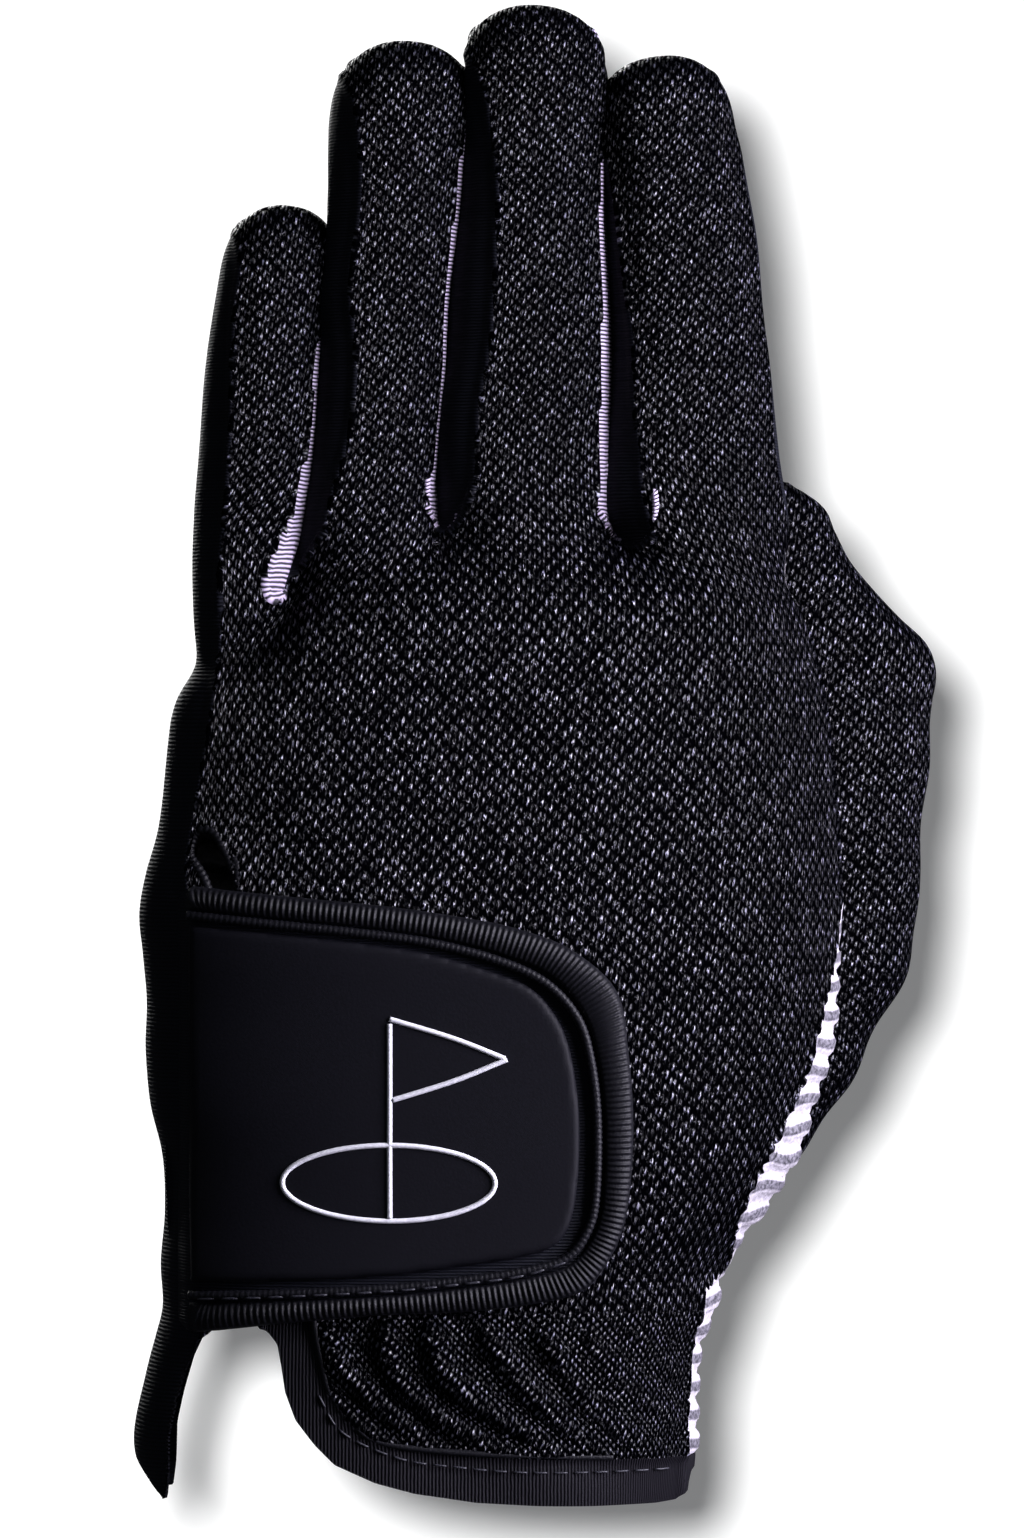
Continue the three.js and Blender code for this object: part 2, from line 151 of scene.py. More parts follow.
emission = glow.node_tree.nodes.new("ShaderNodeEmission")
emission.inputs["Color"].default_value = linear("#fafafa")
glow.node_tree.links.new(emission.outputs[0],
                         glow.node_tree.nodes["Material Output"].inputs["Surface"])
bpy.ops.mesh.primitive_uv_sphere_add(segments=48, ring_count=24, radius=6)
surround = bpy.context.object
surround.name = "surround"
surround.data.materials.append(glow)
for thing in backdrop:
    bpy.context.scene.collection.objects.link(thing)
for thing in (*backdrop, surround):
    thing.visible_diffuse = thing.visible_glossy = thing.visible_transmission = False
    thing.visible_shadow = False
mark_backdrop(*backdrop, surround)
card_only = bpy.data.collections.new("card_only")
for thing in backdrop:
    card_only.objects.link(thing)
shadow_lamp = bpy.data.objects.new("shadow_lamp", bpy.data.lights.new("shadow_lamp", "POINT"))
shadow_lamp.data.energy = 380
shadow_lamp.data.shadow_soft_size = 0.008
shadow_lamp.location = camera.location + Vector((SHADOW_SHIFT[0], 0, SHADOW_SHIFT[1]))
shadow_lamp.light_linking.receiver_collection = card_only
bpy.context.scene.collection.objects.link(shadow_lamp)


# ------------------------------------------------------------------ skin of the glove
# The whole hand as one sewn skin.  It is shaped with the fingers spread, where the
# crotches between them are open, then the fingers are closed up beside each other.
WALL = 1.0            # thickness of the cloth, mm
PITCH = 1.0           # grid on which the skin is shaped, mm
SQUARE = 2.6          # how square the hand is in section; 2 is an ellipse
ROUND = 2.3           # the same for the fingers and the thumb
ROOT_DEPTH = 20       # length over which the hand closes at the knuckles
TIP = 11              # length of a round fingertip
FINGER_FOOT = 26      # how far a finger's form reaches down into the hand
SLACK_OVER_HAND = 1.27  # how far the knit is stretched over the hand

# height, least X, greatest X, half depth
HAND = [
    [-6, -44.5, 39.5, 15.5], [0, -44.5, 41.5, 16], [8, -47.0, 42.6, 16.4],
    [20, -44.8, 43, 16.8], [26, -43.3, 43.6, 17], [30, -42.4, 45.4, 17], [38, -42.8, 47.2, 17],
    [46, -42.1, 53.2, 17], [56, -42.3, 59.3, 17], [64, -44.4, 61.8, 17], [72, -45, 64.4, 17],
    [80, -44.7, 65.4, 17], [88, -45.6, 65.6, 17], [94, -46.3, 65.4, 16.6],
    [100, -45.4, 65.0, 16.2], [107, -43.2, 64.8, 15.6], [122, -41.5, 63.6, 14.6],
    [141, -38.9, 60.3, 13], [155, -37.4, 58, 11], [175, -36, 55, 9],
]
# X, height of the crotches and knuckles
HAND_TOP = [[-42, 143], [-25, 144.5], [-17, 150], [1.8, 156], [16, 156.5], [31, 154.5],
            [46, 155], [60, 157]]

# name, X and Z of the root, lean, extra spread, length, then rows of height, sideways
# offset, half width and half depth
FINGERS = [
    ("pinky", -30.5, 146, 6.5, -10, 62.3,
     [[-22, 0, 6, 3], [-6, 0, 7, 6.5], [0, 0.7, 7.7, 7.6], [13, 0.9, 9.2, 8],
      [25, 0.7, 9.4, 7.8], [40, -0.2, 9.0, 7.6], [55, 0.6, 8.7, 7.4], [64, 0.8, 8.6, 7.2]]),
    ("ring", -10.4, 153, 4.9, -3.5, 81.6,
     [[-26, 0, 9, 3], [-8, 0, 11.6, 7], [0, 0, 11.9, 8.4], [12, 0, 10.6, 8.8],
      [21, 0, 10.4, 8.7], [31, 0, 10.6, 8.7], [41, -0.9, 11.2, 8.5], [55, 0, 11.1, 8.4],
      [73, 0, 10.8, 8], [84, 0, 10.6, 8]]),
    ("middle", 15.9, 157, 0.6, 2.5, 83.2,
     [[-28, 0, 10, 3], [-8, -0.4, 13, 7.5], [0, -0.6, 14, 8.8], [10, -0.9, 14.6, 9.2],
      [18, -0.9, 14.4, 9.2], [27, -0.4, 13.6, 9.1], [40, -0.2, 13, 9], [53, 0, 12, 8.8],
      [68, 0, 11.6, 8.4], [86, 0, 11, 8]]),
    ("index", 46.2, 156, -6.8, 9, 76.6,
     [[-28, 0, 10, 3], [-8, -1.2, 11.6, 7.5], [0, -3, 13.2, 8.8], [6, -3.9, 14.3, 9.2],
      [14, -3.1, 13.7, 9.2], [22, -2.3, 12.7, 9.1], [30, -1.5, 11.9, 9], [46, -0.7, 11.7, 8.8],
      [62, -0.6, 10.7, 8.4], [80, -0.6, 10, 8]]),
]
# Where neighbouring fingers press flat against each other: height, X
CONTACTS = [
    [[143, -25.6], [152, -22.6], [159, -19.8], [170, -18.5], [185, -18.1], [192, -17.2],
     [200, -16.3], [212, -15.5]],
    [[154, 2], [165, 0.6], [173, 1], [183, 1.5], [193, 2.4], [207, 4.8], [216, 5.7],
     [228, 6.4], [240, 7]],
    [[152, 31.5], [162, 28.4], [173, 29.2], [184, 28.5], [200, 28], [212, 27.5], [230, 27.4]],
]
# Front seam between the knit back and the smooth side: height, X
SIDE_SEAM = [[-6, -38], [28, -36.4], [36, -37], [92, -37.4], [100, -38.5], [112, -37],
             [130, -34], [146, -33], [260, -33]]
# Front seam between the knit back and the grip palm: height, X
PALM_SEAM = [[-6, 40.4], [17, 40.7], [21, 41], [27.7, 41.8], [30, 42.6], [34.4, 43.4],
             [38.5, 46.8], [44.4, 48.6], [49.2, 50.4], [55.2, 53.4], [60, 55.8], [65.3, 58.2],
             [70.8, 60.2], [76.6, 61.8], [82, 63.2], [88, 64.3], [97, 65.4], [104, 69],
             [120, 80], [260, 80]]
# Outline that is cut away under the tail and the cuff: X, height
HEM = [(-60, 7.6), (-47.2, 7.6), (-45.5, 5), (-43.6, 2.3), (-42.2, 0.6), (-41.8, 4.3),
       (-41.6, 10.8), (-40.4, 15.9), (-38.8, 21.6), (-36.8, 26), (-34.6, 28), (-28.3, 28.6),
       (-25.7, 28), (-24.1, 26), (-23.5, 22.8), (-22.8, 18.3), (-21.2, 14), (-18.2, 10.1),
       (-15, 6.9), (-8.5, 4), (-2.3, 2.3), (7.4, 0.8), (16.9, 0.3), (26, 0.1), (36, 0.1),
       (39.4, 0.4), (41, 1.9), (41.8, 5), (60, 6), (60, -12), (-60, -12)]
KEYHOLE = [(-38.2, 103.6), (-37.6, 106.5), (-36, 107.8), (-34, 107.2), (-32.6, 104.8),
           (-31.2, 101.5), (-30.3, 97), (-27, 25), (-29.5, 25), (-33.6, 90), (-35, 98),
           (-36.2, 101)]
# Inner edge of the cuff's hem, along which a bead is sewn: X, height
CUFF_LINE = [(-18.6, 31.5), (-16.9, 22.8), (-15.6, 18.3), (-12.4, 14), (-8.5, 10.8),
             (1, 9.2), (16.9, 8.2), (29.6, 7.8), (50, 7.4)]
GATHER_TOP = 31


def smooth(table, at):
    """Values that run smoothly through a table's rows; its first column is the place."""
    table = np.asarray(table, float)
    x, y = table[:, 0], table[:, 1:]
    slope = np.gradient(y, x, axis=0)
    i = np.clip(np.searchsorted(x, at) - 1, 0, len(x) - 2)
    step = x[i + 1] - x[i]
    t = np.clip((at - x[i]) / step, 0, 1)[..., None]
    step = step[..., None]
    return ((2 * t ** 3 - 3 * t ** 2 + 1) * y[i] + (t ** 3 - 2 * t ** 2 + t) * step * slope[i]
            + (3 * t ** 2 - 2 * t ** 3) * y[i + 1] + (t ** 3 - t ** 2) * step * slope[i + 1])


def step_up(value, low, high):
    """0 below low, 1 above high, and a smooth rise between them."""
    t = np.clip((value - low) / (high - low), 0, 1)
    return t * t * (3 - 2 * t)


def inside(outline, x, z):
    """Distance from points to a closed outline, positive inside it."""
    corners = np.asarray(outline, float)
    nearest = np.full(np.shape(x), 1e9)
    odd = np.zeros(np.shape(x), bool)
    for (ax, az), (bx, bz) in zip(corners, np.roll(corners, -1, axis=0)):
        dx, dz = bx - ax, bz - az
        t = np.clip(((x - ax) * dx + (z - az) * dz) / (dx * dx + dz * dz), 0, 1)
        nearest = np.minimum(nearest, np.hypot(x - ax - t * dx, z - az - t * dz))
        if dz:
            odd ^= ((az > z) != (bz > z)) & (x < dx * (z - az) / dz + ax)
    return np.where(odd, nearest, -nearest)


def join(a, b, radius):
    """The union of two distance fields with a fillet where they meet."""
    h = np.maximum(radius - np.abs(a - b), 0) / radius
    return np.minimum(a, b) - h * h * radius / 4


def distance(level, pitch):
    """Turns a form's level, 1 on its skin, into millimetres from the skin."""
    steep = np.sqrt(sum(g * g for g in np.gradient(level, pitch)))
    return np.clip((level - 1) / np.maximum(steep, 0.01), -9, 9)


def hand_level(x, y, z):
    """Level of the hand: a squarish tube that closes over the knuckles."""
    row = smooth(HAND, z[0, 0, :])
    left, right, deep = (row[:, i][None, None, :] for i in range(3))
    middle, wide = (left + right) / 2, (right - left) / 2
    top = smooth(HAND_TOP, x[:, 0, 0])[:, 0][:, None, None]
    rise = np.maximum(z - (top - ROOT_DEPTH), 0) / ROOT_DEPTH
    return ((np.abs(x - middle) / wide) ** SQUARE + (np.abs(y) / deep) ** SQUARE
            + rise ** SQUARE) ** (1 / SQUARE)


def turned(x, z, angle):
    """Sideways place and height in a frame that leans by an angle towards the thumb."""
    c, s = np.cos(np.radians(angle)), np.sin(np.radians(angle))
    return x * c - z * s, x * s + z * c


def finger_level(finger, x, y, z):
    """Level of one finger: a tube along its own lean, round at the tip."""
    _, root_x, root_z, lean, extra, length, rows = finger
    side, up = turned(x - root_x, z - root_z, lean + extra)
    size = smooth(rows, up)
    over = np.maximum(up - (length - TIP), 0) / TIP
    under = np.maximum(-FINGER_FOOT - up, 0) / 4
    return ((np.abs(side - size[..., 0]) / size[..., 1]) ** ROUND
            + (np.abs(y) / size[..., 2]) ** ROUND
            + over ** ROUND + under ** ROUND) ** (1 / ROUND)


def grid_of(low, high, pitch):
    """X, Y and Z of every point of a grid between two corners."""
    return np.meshgrid(*(np.arange(a, b + pitch, pitch) for a, b in zip(low, high)),
                       indexing="ij")


def skin_of(field, corner, pitch):
    """Closed triangle mesh of a distance field on a grid that starts at corner."""
    grid = openvdb.FloatGrid()
    grid.background = 3.0
    grid.copyFromArray(np.clip(field, -3, 3).astype(np.float32))
    corners, quads = grid.convertToQuads(0.0)
    quads = quads.astype(int)[:, ::-1]
    faces = np.concatenate([quads[:, [0, 1, 2]], quads[:, [0, 2, 3]]])
    return corners.astype(float) * pitch + np.array(corner), faces


def cut(values, faces, field):
    """Splits the triangles that a field's zero line crosses.  Every column of values is
    carried over to the new corners, and the mesh stays in one piece."""
    field = np.where(np.abs(field) < 1e-3, 1e-3, field)
    high = field[faces] > 0
    count = high.sum(1)
    mixed = (count == 1) | (count == 2)
    tri, sign = faces[mixed], high[mixed]
    lone = np.where(sign.sum(1) == 1, sign.argmax(1), (~sign).argmax(1))
    rows = np.arange(len(tri))
    a, b, c = (tri[rows, (lone + k) % 3] for k in range(3))
    pairs = np.concatenate([np.stack([a, b], 1), np.stack([a, c], 1)])
    pairs.sort(axis=1)
    edges, back = np.unique(pairs[:, 0] * len(values) + pairs[:, 1], return_inverse=True)
    one, two = edges // len(values), edges % len(values)
    t = (field[one] / (field[one] - field[two]))[:, None]
    made = values[one] * (1 - t) + values[two] * t
    ab = back[:len(tri)] + len(values)
    ac = back[len(tri):] + len(values)
    faces = np.concatenate([faces[~mixed], np.stack([a, ab, ac], 1),
                            np.stack([ab, b, c], 1), np.stack([ab, c, ac], 1)])
    return np.concatenate([values, made]), faces


def normals_of(points, faces):
    """Smooth normals, each face weighted by its area."""
    corners = points[faces]
    flat = np.cross(corners[:, 1] - corners[:, 0], corners[:, 2] - corners[:, 0])
    total = np.zeros_like(points)
    for k in range(3):
        np.add.at(total, faces[:, k], flat)
    return total / np.maximum(np.linalg.norm(total, axis=1, keepdims=True), 1e-12)


def shell(name, points, faces, uv, normals):
    """Cloth with a thickness: the outer faces, the same faces turned in, and the rims."""
    used, flat = np.unique(faces, return_inverse=True)
    faces = flat.reshape(-1, 3)
    points, uv, normals = points[used], uv[used], normals[used]
    sides = np.concatenate([faces[:, [0, 1]], faces[:, [1, 2]], faces[:, [2, 0]]])
    code = sides[:, 0] * len(points) + sides[:, 1]
    twin = sides[:, 1] * len(points) + sides[:, 0]
    rim = sides[~np.isin(code, twin)]
    n = len(points)
    quads = np.stack([rim[:, 1], rim[:, 0], rim[:, 0] + n, rim[:, 1] + n], 1)
    polygons = faces.tolist() + (faces[:, ::-1] + n).tolist() + quads.tolist()
    mesh = bpy.data.meshes.new(name)
    both = np.concatenate([points, points - normals * WALL])
    mesh.from_pydata((both * MM).tolist(), [], polygons)
    mesh.shade_smooth()
    layer = mesh.uv_layers.new(name="cloth")
    corner = np.zeros(len(mesh.loops), int)
    mesh.loops.foreach_get("vertex_index", corner)
    layer.data.foreach_set("uv", np.concatenate([uv, uv])[corner].ravel())
    outward = np.concatenate([normals, -normals])
    mesh.normals_split_custom_set_from_vertices(outward.tolist())
    thing = bpy.data.objects.new(name, mesh)
    bpy.context.scene.collection.objects.link(thing)
    return thing


low, high = (-66, -24, -8), (84, 24, 252)
gx, gy, gz = grid_of(low, high, PITCH)
finger_fields = [distance(finger_level(f, gx, gy, gz), PITCH) for f in FINGERS]
glove_field = distance(hand_level(gx, gy, gz), PITCH)
for field in finger_fields:
    glove_field = join(glove_field, field, 3.0)
points, faces = skin_of(glove_field, low, PITCH)
cell = tuple(np.clip(((points[:, i] - low[i]) / PITCH).round().astype(int), 0,
                     gx.shape[i] - 1) for i in range(3))
nearness = np.stack([np.exp(-field[cell] / 1.2) for field in finger_fields], 1)
share = nearness / nearness.sum(1, keepdims=True)

# The spread fingers are turned back beside each other about their roots.
closed = points.copy()
for k, (name, root_x, root_z, lean, extra, *_) in enumerate(FINGERS):
    side, up = turned(points[:, 0] - root_x, points[:, 2] - root_z, lean + extra)
    turn = extra * step_up(up, -9, 11) * share[:, k]
    there = turned(side, up, -(lean + extra - turn))
    before = turned(side, up, -(lean + extra))
    closed[:, 0] += there[0] - before[0]
    closed[:, 2] += there[1] - before[1]
owner = share.argmax(1)
for k, contact in enumerate(CONTACTS):
    edge = smooth(contact, closed[:, 2])[:, 0]
    near = closed[:, 2] > contact[0][0] + 3
    for who, way in ((k, 1), (k + 1, -1)):
        past = np.maximum(way * (closed[:, 0] - edge) + 0.15, 0)
        closed[:, 0] -= np.where(near & (owner == who), way * past, 0)

values = np.concatenate([closed, points, share], 1)


def places(values):
    """Named places on the skin: X, Y and Z, each finger's share, then each finger's
    sideways place as a part of its half width, and height, in its own frame."""
    x, y, z = values[:, 0], values[:, 1], values[:, 2]
    part, height = [], []
    for name, root_x, root_z, lean, extra, length, rows in FINGERS:
        side, up = turned(values[:, 3] - root_x, values[:, 5] - root_z, lean + extra)
        size = smooth(rows, up)
        part.append((side - size[:, 0]) / size[:, 1])
        height.append(up)
    return x, y, z, values[:, 6:10], np.stack(part, 1), np.stack(height, 1)


# How far the smooth strips come round to the front of each finger, on its little-finger
# side and on its thumb side: rows of height along the finger, then part of its half width
STRIP_LITTLE = {
    "pinky": [[-10, 0.5], [0, 0.48], [20, 0.5], [45, 0.62], [58, 0.9], [62, 1.3]],
    "ring": [[-10, 0.2], [0, 0.5], [20, 0.36], [45, 0.44], [62, 0.52], [74, 0.8], [81, 1.3]],
    "middle": [[-10, 0.2], [0, 0.5], [12, 0.5], [40, 0.42], [60, 0.5], [74, 0.8], [82, 1.3]],
    "index": [[-10, 0.3], [0, 0.52], [6, 0.5], [12, 0.52], [20, 0.62], [30, 0.68],
              [46, 0.75], [62, 0.85], [70, 0.95], [76, 1.3]],
}
STRIP_THUMB = {
    "pinky": [[-10, 0.1], [0, 0.3], [6, 0.4], [12, 0.56], [22, 0.68], [45, 0.84], [54, 0.95],
              [62, 1.3]],
    "ring": [[-10, 0.4], [0, 0.66], [10, 0.8], [30, 0.84], [55, 0.8], [70, 0.9], [81, 1.3]],
    "middle": [[-10, 0.4], [0, 0.72], [14, 0.78], [30, 0.8], [55, 0.84], [70, 0.95], [82, 1.3]],
    "index": [[-10, 1.2], [0, 1.0], [30, 1.0], [60, 1.0], [76, 1.3]],
}
STRIP_REAR = 0.8
# bottom of each crotch: its place, half width a little above that, and how far it leans
CROTCHES = [(-25.4, 145.4, 2.6, 0.38), (2.6, 155.6, 3.0, 0.0), (32.2, 153.6, 4.2, 0.04)]


def strip_fields(values):
    """For each finger, how far inside its two side strips a point lies, positive inside."""
    _, y, _, _, part, up = places(values)
    fields = []
    for k, (name, *_) in enumerate(FINGERS):
        for table, way in ((STRIP_LITTLE, -1), (STRIP_THUMB, 1)):
            front = smooth(table[name], np.clip(up[:, k], -10, 90))[:, 0]
            need = np.where(y < 0, front, STRIP_REAR)
            fields.append((way * part[:, k] - need) * 10)
    return fields


def web_floor(values):
    """How far a point lies above the round lower ends of the strips between fingers."""
    x, z = values[:, 3], values[:, 5]
    best = np.full(len(x), 1e9)
    floor = np.zeros(len(x))
    for crotch_x, crotch_z, half_wide, lean in CROTCHES:
        away = np.abs(x - crotch_x - lean * np.clip(z - crotch_z, 0, 20))
        here = z - crotch_z + 0.4 - np.minimum(away / half_wide, 2.4) ** 2 * 3
        floor = np.where(away < best, here, floor)
        best = np.minimum(best, away)
    return floor


def seam_x(table, z):
    """Where a seam runs at a height."""
    return smooth(table, z)[:, 0]


CUFF_AREA = CUFF_LINE + [(60, -20), (-27, -20), (-27, 31.5)]


def areas(values):
    """How far inside each sewn area a point of the skin lies, positive inside."""
    x, y, z, part_of, part, up = places(values)
    strips = strip_fields(values)
    floor = web_floor(values)
    found = {
        "away": np.maximum(inside(HEM, x, z), np.where(y < 0, inside(KEYHOLE, x, z), -5)),
        "side": np.minimum(seam_x(SIDE_SEAM, z) - x, np.maximum(8 - y, -35 - x)),
        "palm": np.maximum(x - seam_x(PALM_SEAM, z), y + 1 - 3 * step_up(z, 150, 165)),
        "hem": inside(CUFF_AREA, x, z),
        "gather": np.where(y < 0, GATHER_TOP - z, -5),
    }
    for k, (name, *_) in enumerate(FINGERS):
        little = strips[2 * k] if k == 0 else np.minimum(strips[2 * k], floor)
        thumb = strips[2 * k + 1] if k == 3 else np.minimum(strips[2 * k + 1], floor)
        found[name + "_little"] = np.where(up[:, k] > -12, little, -5)
        found[name + "_thumb"] = np.where(up[:, k] > -12, thumb, -5)
    for k in range(3):
        found[f"between_{k}"] = part_of[:, k] - part_of[:, k + 1]
    return found


# The skin is cut along every seam, one area after another.
for area in areas(values[:3]):
    values, faces = cut(values, faces, areas(values)[area])

# Sewing and gathering work on the shape of the cloth: seams pull in, the wrist elastic
# puckers the cuff, and the palm carries ribs of silicone.
RIB_PERIOD = 4.6
RIB_WIDE = 2.9
x, y, z, part_of, part, up = places(values)
field = areas(values)
normals = normals_of(values[:, :3], faces)
lift = np.zeros(len(values))
owner = part_of.argmax(1)
for k, (name, *_) in enumerate(FINGERS):
    for side in ("_little", "_thumb"):
        near = (owner == k) & (up[:, k] > -3)
        lift -= np.where(near, 0.45 * np.exp(-(field[name + side] / 0.55) ** 2), 0)
low_hand = z < 140
lift -= np.where(low_hand & (y < 0) & (x < 0), 0.4 * np.exp(-(field["side"] / 0.6) ** 2), 0)
lift -= np.where(low_hand & (y < 4) & (x > 0), 0.5 * np.exp(-(field["palm"] / 0.6) ** 2), 0)
hem = step_up(field["hem"], -0.2, 0.8)
lift += 0.55 * hem * (1 - step_up(z, 40, 50))
gathered = step_up(field["gather"], 0, 4) * (1 - step_up(field["hem"], -2.5, 0))
gathered *= step_up(x, -27, -14) * (1 - step_up(x, 38, 42))
wander = 0.9 * np.sin(x * 0.23 + 1) + 0.6 * np.sin(z * 0.4 + x * 0.11)
fold = np.cos((x - 0.04 * np.maximum(GATHER_TOP - z, 0) ** 2 + wander) * 2 * np.pi / 8.6)
gathered *= 1 - 0.75 * step_up(x, 8, 36)
lift += gathered * (0.5 - 1.7 * (0.5 + 0.5 * fold) ** 3)
rib = np.abs((z + 0.35 * np.sin(x * 0.9)) / RIB_PERIOD % 1 - 0.5) * RIB_PERIOD
ribbed = step_up(field["palm"], 0.1, 0.9) * (1 - step_up(z, 140, 150)) * (1 - hem)
ribbed *= 1 - step_up(field["side"], -1, 0)
lift += ribbed * (0.75 * (1 - step_up(rib, RIB_WIDE / 2 - 0.5, RIB_WIDE / 2 + 0.3)))
lift += 0.22 * np.sin(x * 0.21 + 2 * np.sin(z * 0.05)) * np.sin(z * 0.17 + x * 0.05)
skin = values[:, :3] + normals * lift[:, None]
normals = normals_of(skin, faces)

# Cloth coordinates in millimetres of slack knit; over the hand it is stretched wider.
row = smooth(HAND, z)
hand_part = (x - (row[:, 0] + row[:, 1]) / 2) / ((row[:, 1] - row[:, 0]) / 2)
round_hand = 0.3 * (row[:, 1] - row[:, 0]) / 2 * np.clip(hand_part, -1, 1) ** 7
own_part = np.clip(part[np.arange(len(x)), owner], -1, 1)
on_finger = step_up(up[np.arange(len(x)), owner], -6, 12)
round_finger = 3.4 * own_part ** 7
def stretched(z):
    """How far the knit is stretched at a height: most over the hand, not on the fingers."""
    return SLACK_OVER_HAND - (SLACK_OVER_HAND - 1) * step_up(z, 138, 172)


stretch = stretched(z)
cloth = np.stack([(x + round_hand * (1 - on_finger) + round_finger * on_finger) / stretch,
                  z / stretch], 1)
run = np.linspace(-10, 260, 600)
slack = np.cumsum(0.45 / stretched(run))
cloth[:, 1] = np.interp(z, run, slack)

middle = values[faces].mean(1)
field = areas(middle)
mx, _, _, part_of, part, up = places(middle)
owner = part_of.argmax(1)
kept = field["away"] < 0
on_finger = up[np.arange(len(up)), owner] > 0
strip = np.zeros(len(faces), bool)
pieces = {}
for k, (name, *_) in enumerate(FINGERS):
    little = kept & (owner == k) & (field[name + "_little"] > 0)
    thumb = kept & (owner == k) & (field[name + "_thumb"] > 0)
    if k == 0:
        little &= on_finger
    if k == 3:
        thumb &= on_finger
    strip |= little | thumb
    pieces[name + "_little"] = little
    pieces[name + "_thumb"] = thumb
body = kept & ~strip & ~on_finger
side = field["side"] > 0
palm = (field["palm"] > 0) & ~side
pieces["side"] = body & side & (field["hem"] < 0)
pieces["palm"] = body & palm & (field["hem"] < 0)
pieces["hem"] = body & (field["hem"] > 0)
pieces["gather"] = body & ~side & ~palm & (field["hem"] < 0) & (field["gather"] > 0) & (mx > -27)
pieces["back"] = body & ~side & ~palm & (field["hem"] < 0) & ~pieces["gather"]
for k, (name, *_) in enumerate(FINGERS):
    rest = kept & on_finger & (owner == k) & ~strip
    pieces[name + "_palm"] = rest & (field["palm"] > 0)
    pieces[name + "_back"] = rest & (field["palm"] <= 0)


# ------------------------------------------------------------------ back of the hand
# One piece of black birdseye mesh, knitted from filament yarn and sewn to the side panel,
# the palm and the strips between the fingers.
def material(name):
    """A new material, its nodes and its shader."""
    made = bpy.data.materials.new(name)
    made.use_nodes = True
    tree = made.node_tree
    return made, tree, tree.nodes["Principled BSDF"]


def add(tree, kind, settings, *terms, **inputs):
    """Adds a node.  Settings are its own; terms fill its sockets in order and inputs by
    name, each with a value, a socket or another node's first output."""
    node = tree.nodes.new("ShaderNode" + kind)
    for key, value in settings.items():
        if key != "stops":
            setattr(node, key, value)
            continue
        while len(node.color_ramp.elements) < len(value):
            node.color_ramp.elements.new(0.5)
        for element, (place, colour) in zip(node.color_ramp.elements, value):
            element.position = place
            element.color = linear(colour)
    named = [(node.inputs[key], value) for key, value in inputs.items()]
    for socket, value in [*zip(node.inputs, terms), *named]:
        if isinstance(value, bpy.types.Node):
            value = value.outputs[0]
        if isinstance(value, bpy.types.NodeSocket):
            tree.links.new(value, socket)
        else:
            socket.default_value = value
    return node


MULTIPLY = {"operation": "MULTIPLY"}
MULTIPLY_ADD = {"operation": "MULTIPLY_ADD"}
SUBTRACT = {"operation": "SUBTRACT"}
SUBTRACT_CLAMPED = {"operation": "SUBTRACT", "use_clamp": True}
MULTIPLY_CLAMPED = {"operation": "MULTIPLY", "use_clamp": True}
POWER = {"operation": "POWER"}
SINE = {"operation": "SINE"}
FLAT = {"noise_dimensions": "2D"}


def knit(name, bead, glint):
    """Birdseye knit of shiny filament: staggered beads about a bead's size apart in
    millimetres, each with a few slanted strands over dark gaps.  The strand tops are
    painted lighter as painted glints, and get a stronger specular as well."""
    strand_wide, strand_long, strand_pitch = 0.17, 0.5, 0.55
    made, tree, shader = material(name)
    uv = add(tree, "UVMap", {"uv_map": "cloth"})
    grid = add(tree, "Mapping", {}, Vector=uv, Rotation=(0, 0, math.radians(45)),
               Scale=(1 / bead, 1 / bead, 1))
    beads = add(tree, "TexVoronoi", {"voronoi_dimensions": "2D"}, Vector=grid, Scale=1.0,
                Randomness=0.22)
    slant = add(tree, "Mapping", {}, Vector=uv, Rotation=(0, 0, math.radians(28)),
                Scale=(1 / strand_wide, 1 / strand_long, 1))
    fuzz = add(tree, "TexNoise", FLAT, Vector=slant, Scale=1.0, Detail=2.0)
    along = add(tree, "SeparateXYZ", {}, slant)
    turn = add(tree, "Math", MULTIPLY, along, 2 * math.pi * strand_wide / strand_pitch)
    strands = add(tree, "Math", SINE, add(tree, "Math", MULTIPLY_ADD, fuzz, 5.0, turn))
    fibre = add(tree, "Math", MULTIPLY_ADD, strands, 0.16, fuzz)
    dome = add(tree, "Math", SUBTRACT_CLAMPED, 0.55, beads.outputs["Distance"])
    height = add(tree, "Math", MULTIPLY_ADD, fibre, 0.4, dome)
    chance = add(tree, "SeparateColor", {}, beads.outputs["Color"])
    spark = add(tree, "Math", MULTIPLY_ADD, add(tree, "Math", POWER, chance, 3.0), 0.9, 0.7)
    top = add(tree, "Math", SUBTRACT_CLAMPED, fibre, 0.44)
    strand = add(tree, "Math", MULTIPLY, top, 6.0)
    # painted glints: the strand tops, weighted by each bead's random spark, get a lighter base colour
    painted_lit = add(tree, "Math", MULTIPLY, add(tree, "Math", MULTIPLY, dome, strand), spark)
    stops = [(0.08, "#010102"), (0.25, "#08080c"), (0.5, "#20212c"), (0.9, "#7d7b90")]
    colour = add(tree, "ValToRGB", {"stops": stops}, painted_lit)
    shine = add(tree, "Math", MULTIPLY_CLAMPED, add(tree, "Math", POWER, painted_lit, 1.6),
                3.2 * glint)
    bump = add(tree, "Bump", {}, Height=height, Strength=1.0, Distance=0.6 * MM)
    tree.links.new(colour.outputs[0], shader.inputs["Base Color"])
    tree.links.new(shine.outputs[0], shader.inputs["Specular IOR Level"])
    tree.links.new(bump.outputs[0], shader.inputs["Normal"])
    shader.inputs["Roughness"].default_value = 0.36
    shader.inputs["IOR"].default_value = 1.5
    return made


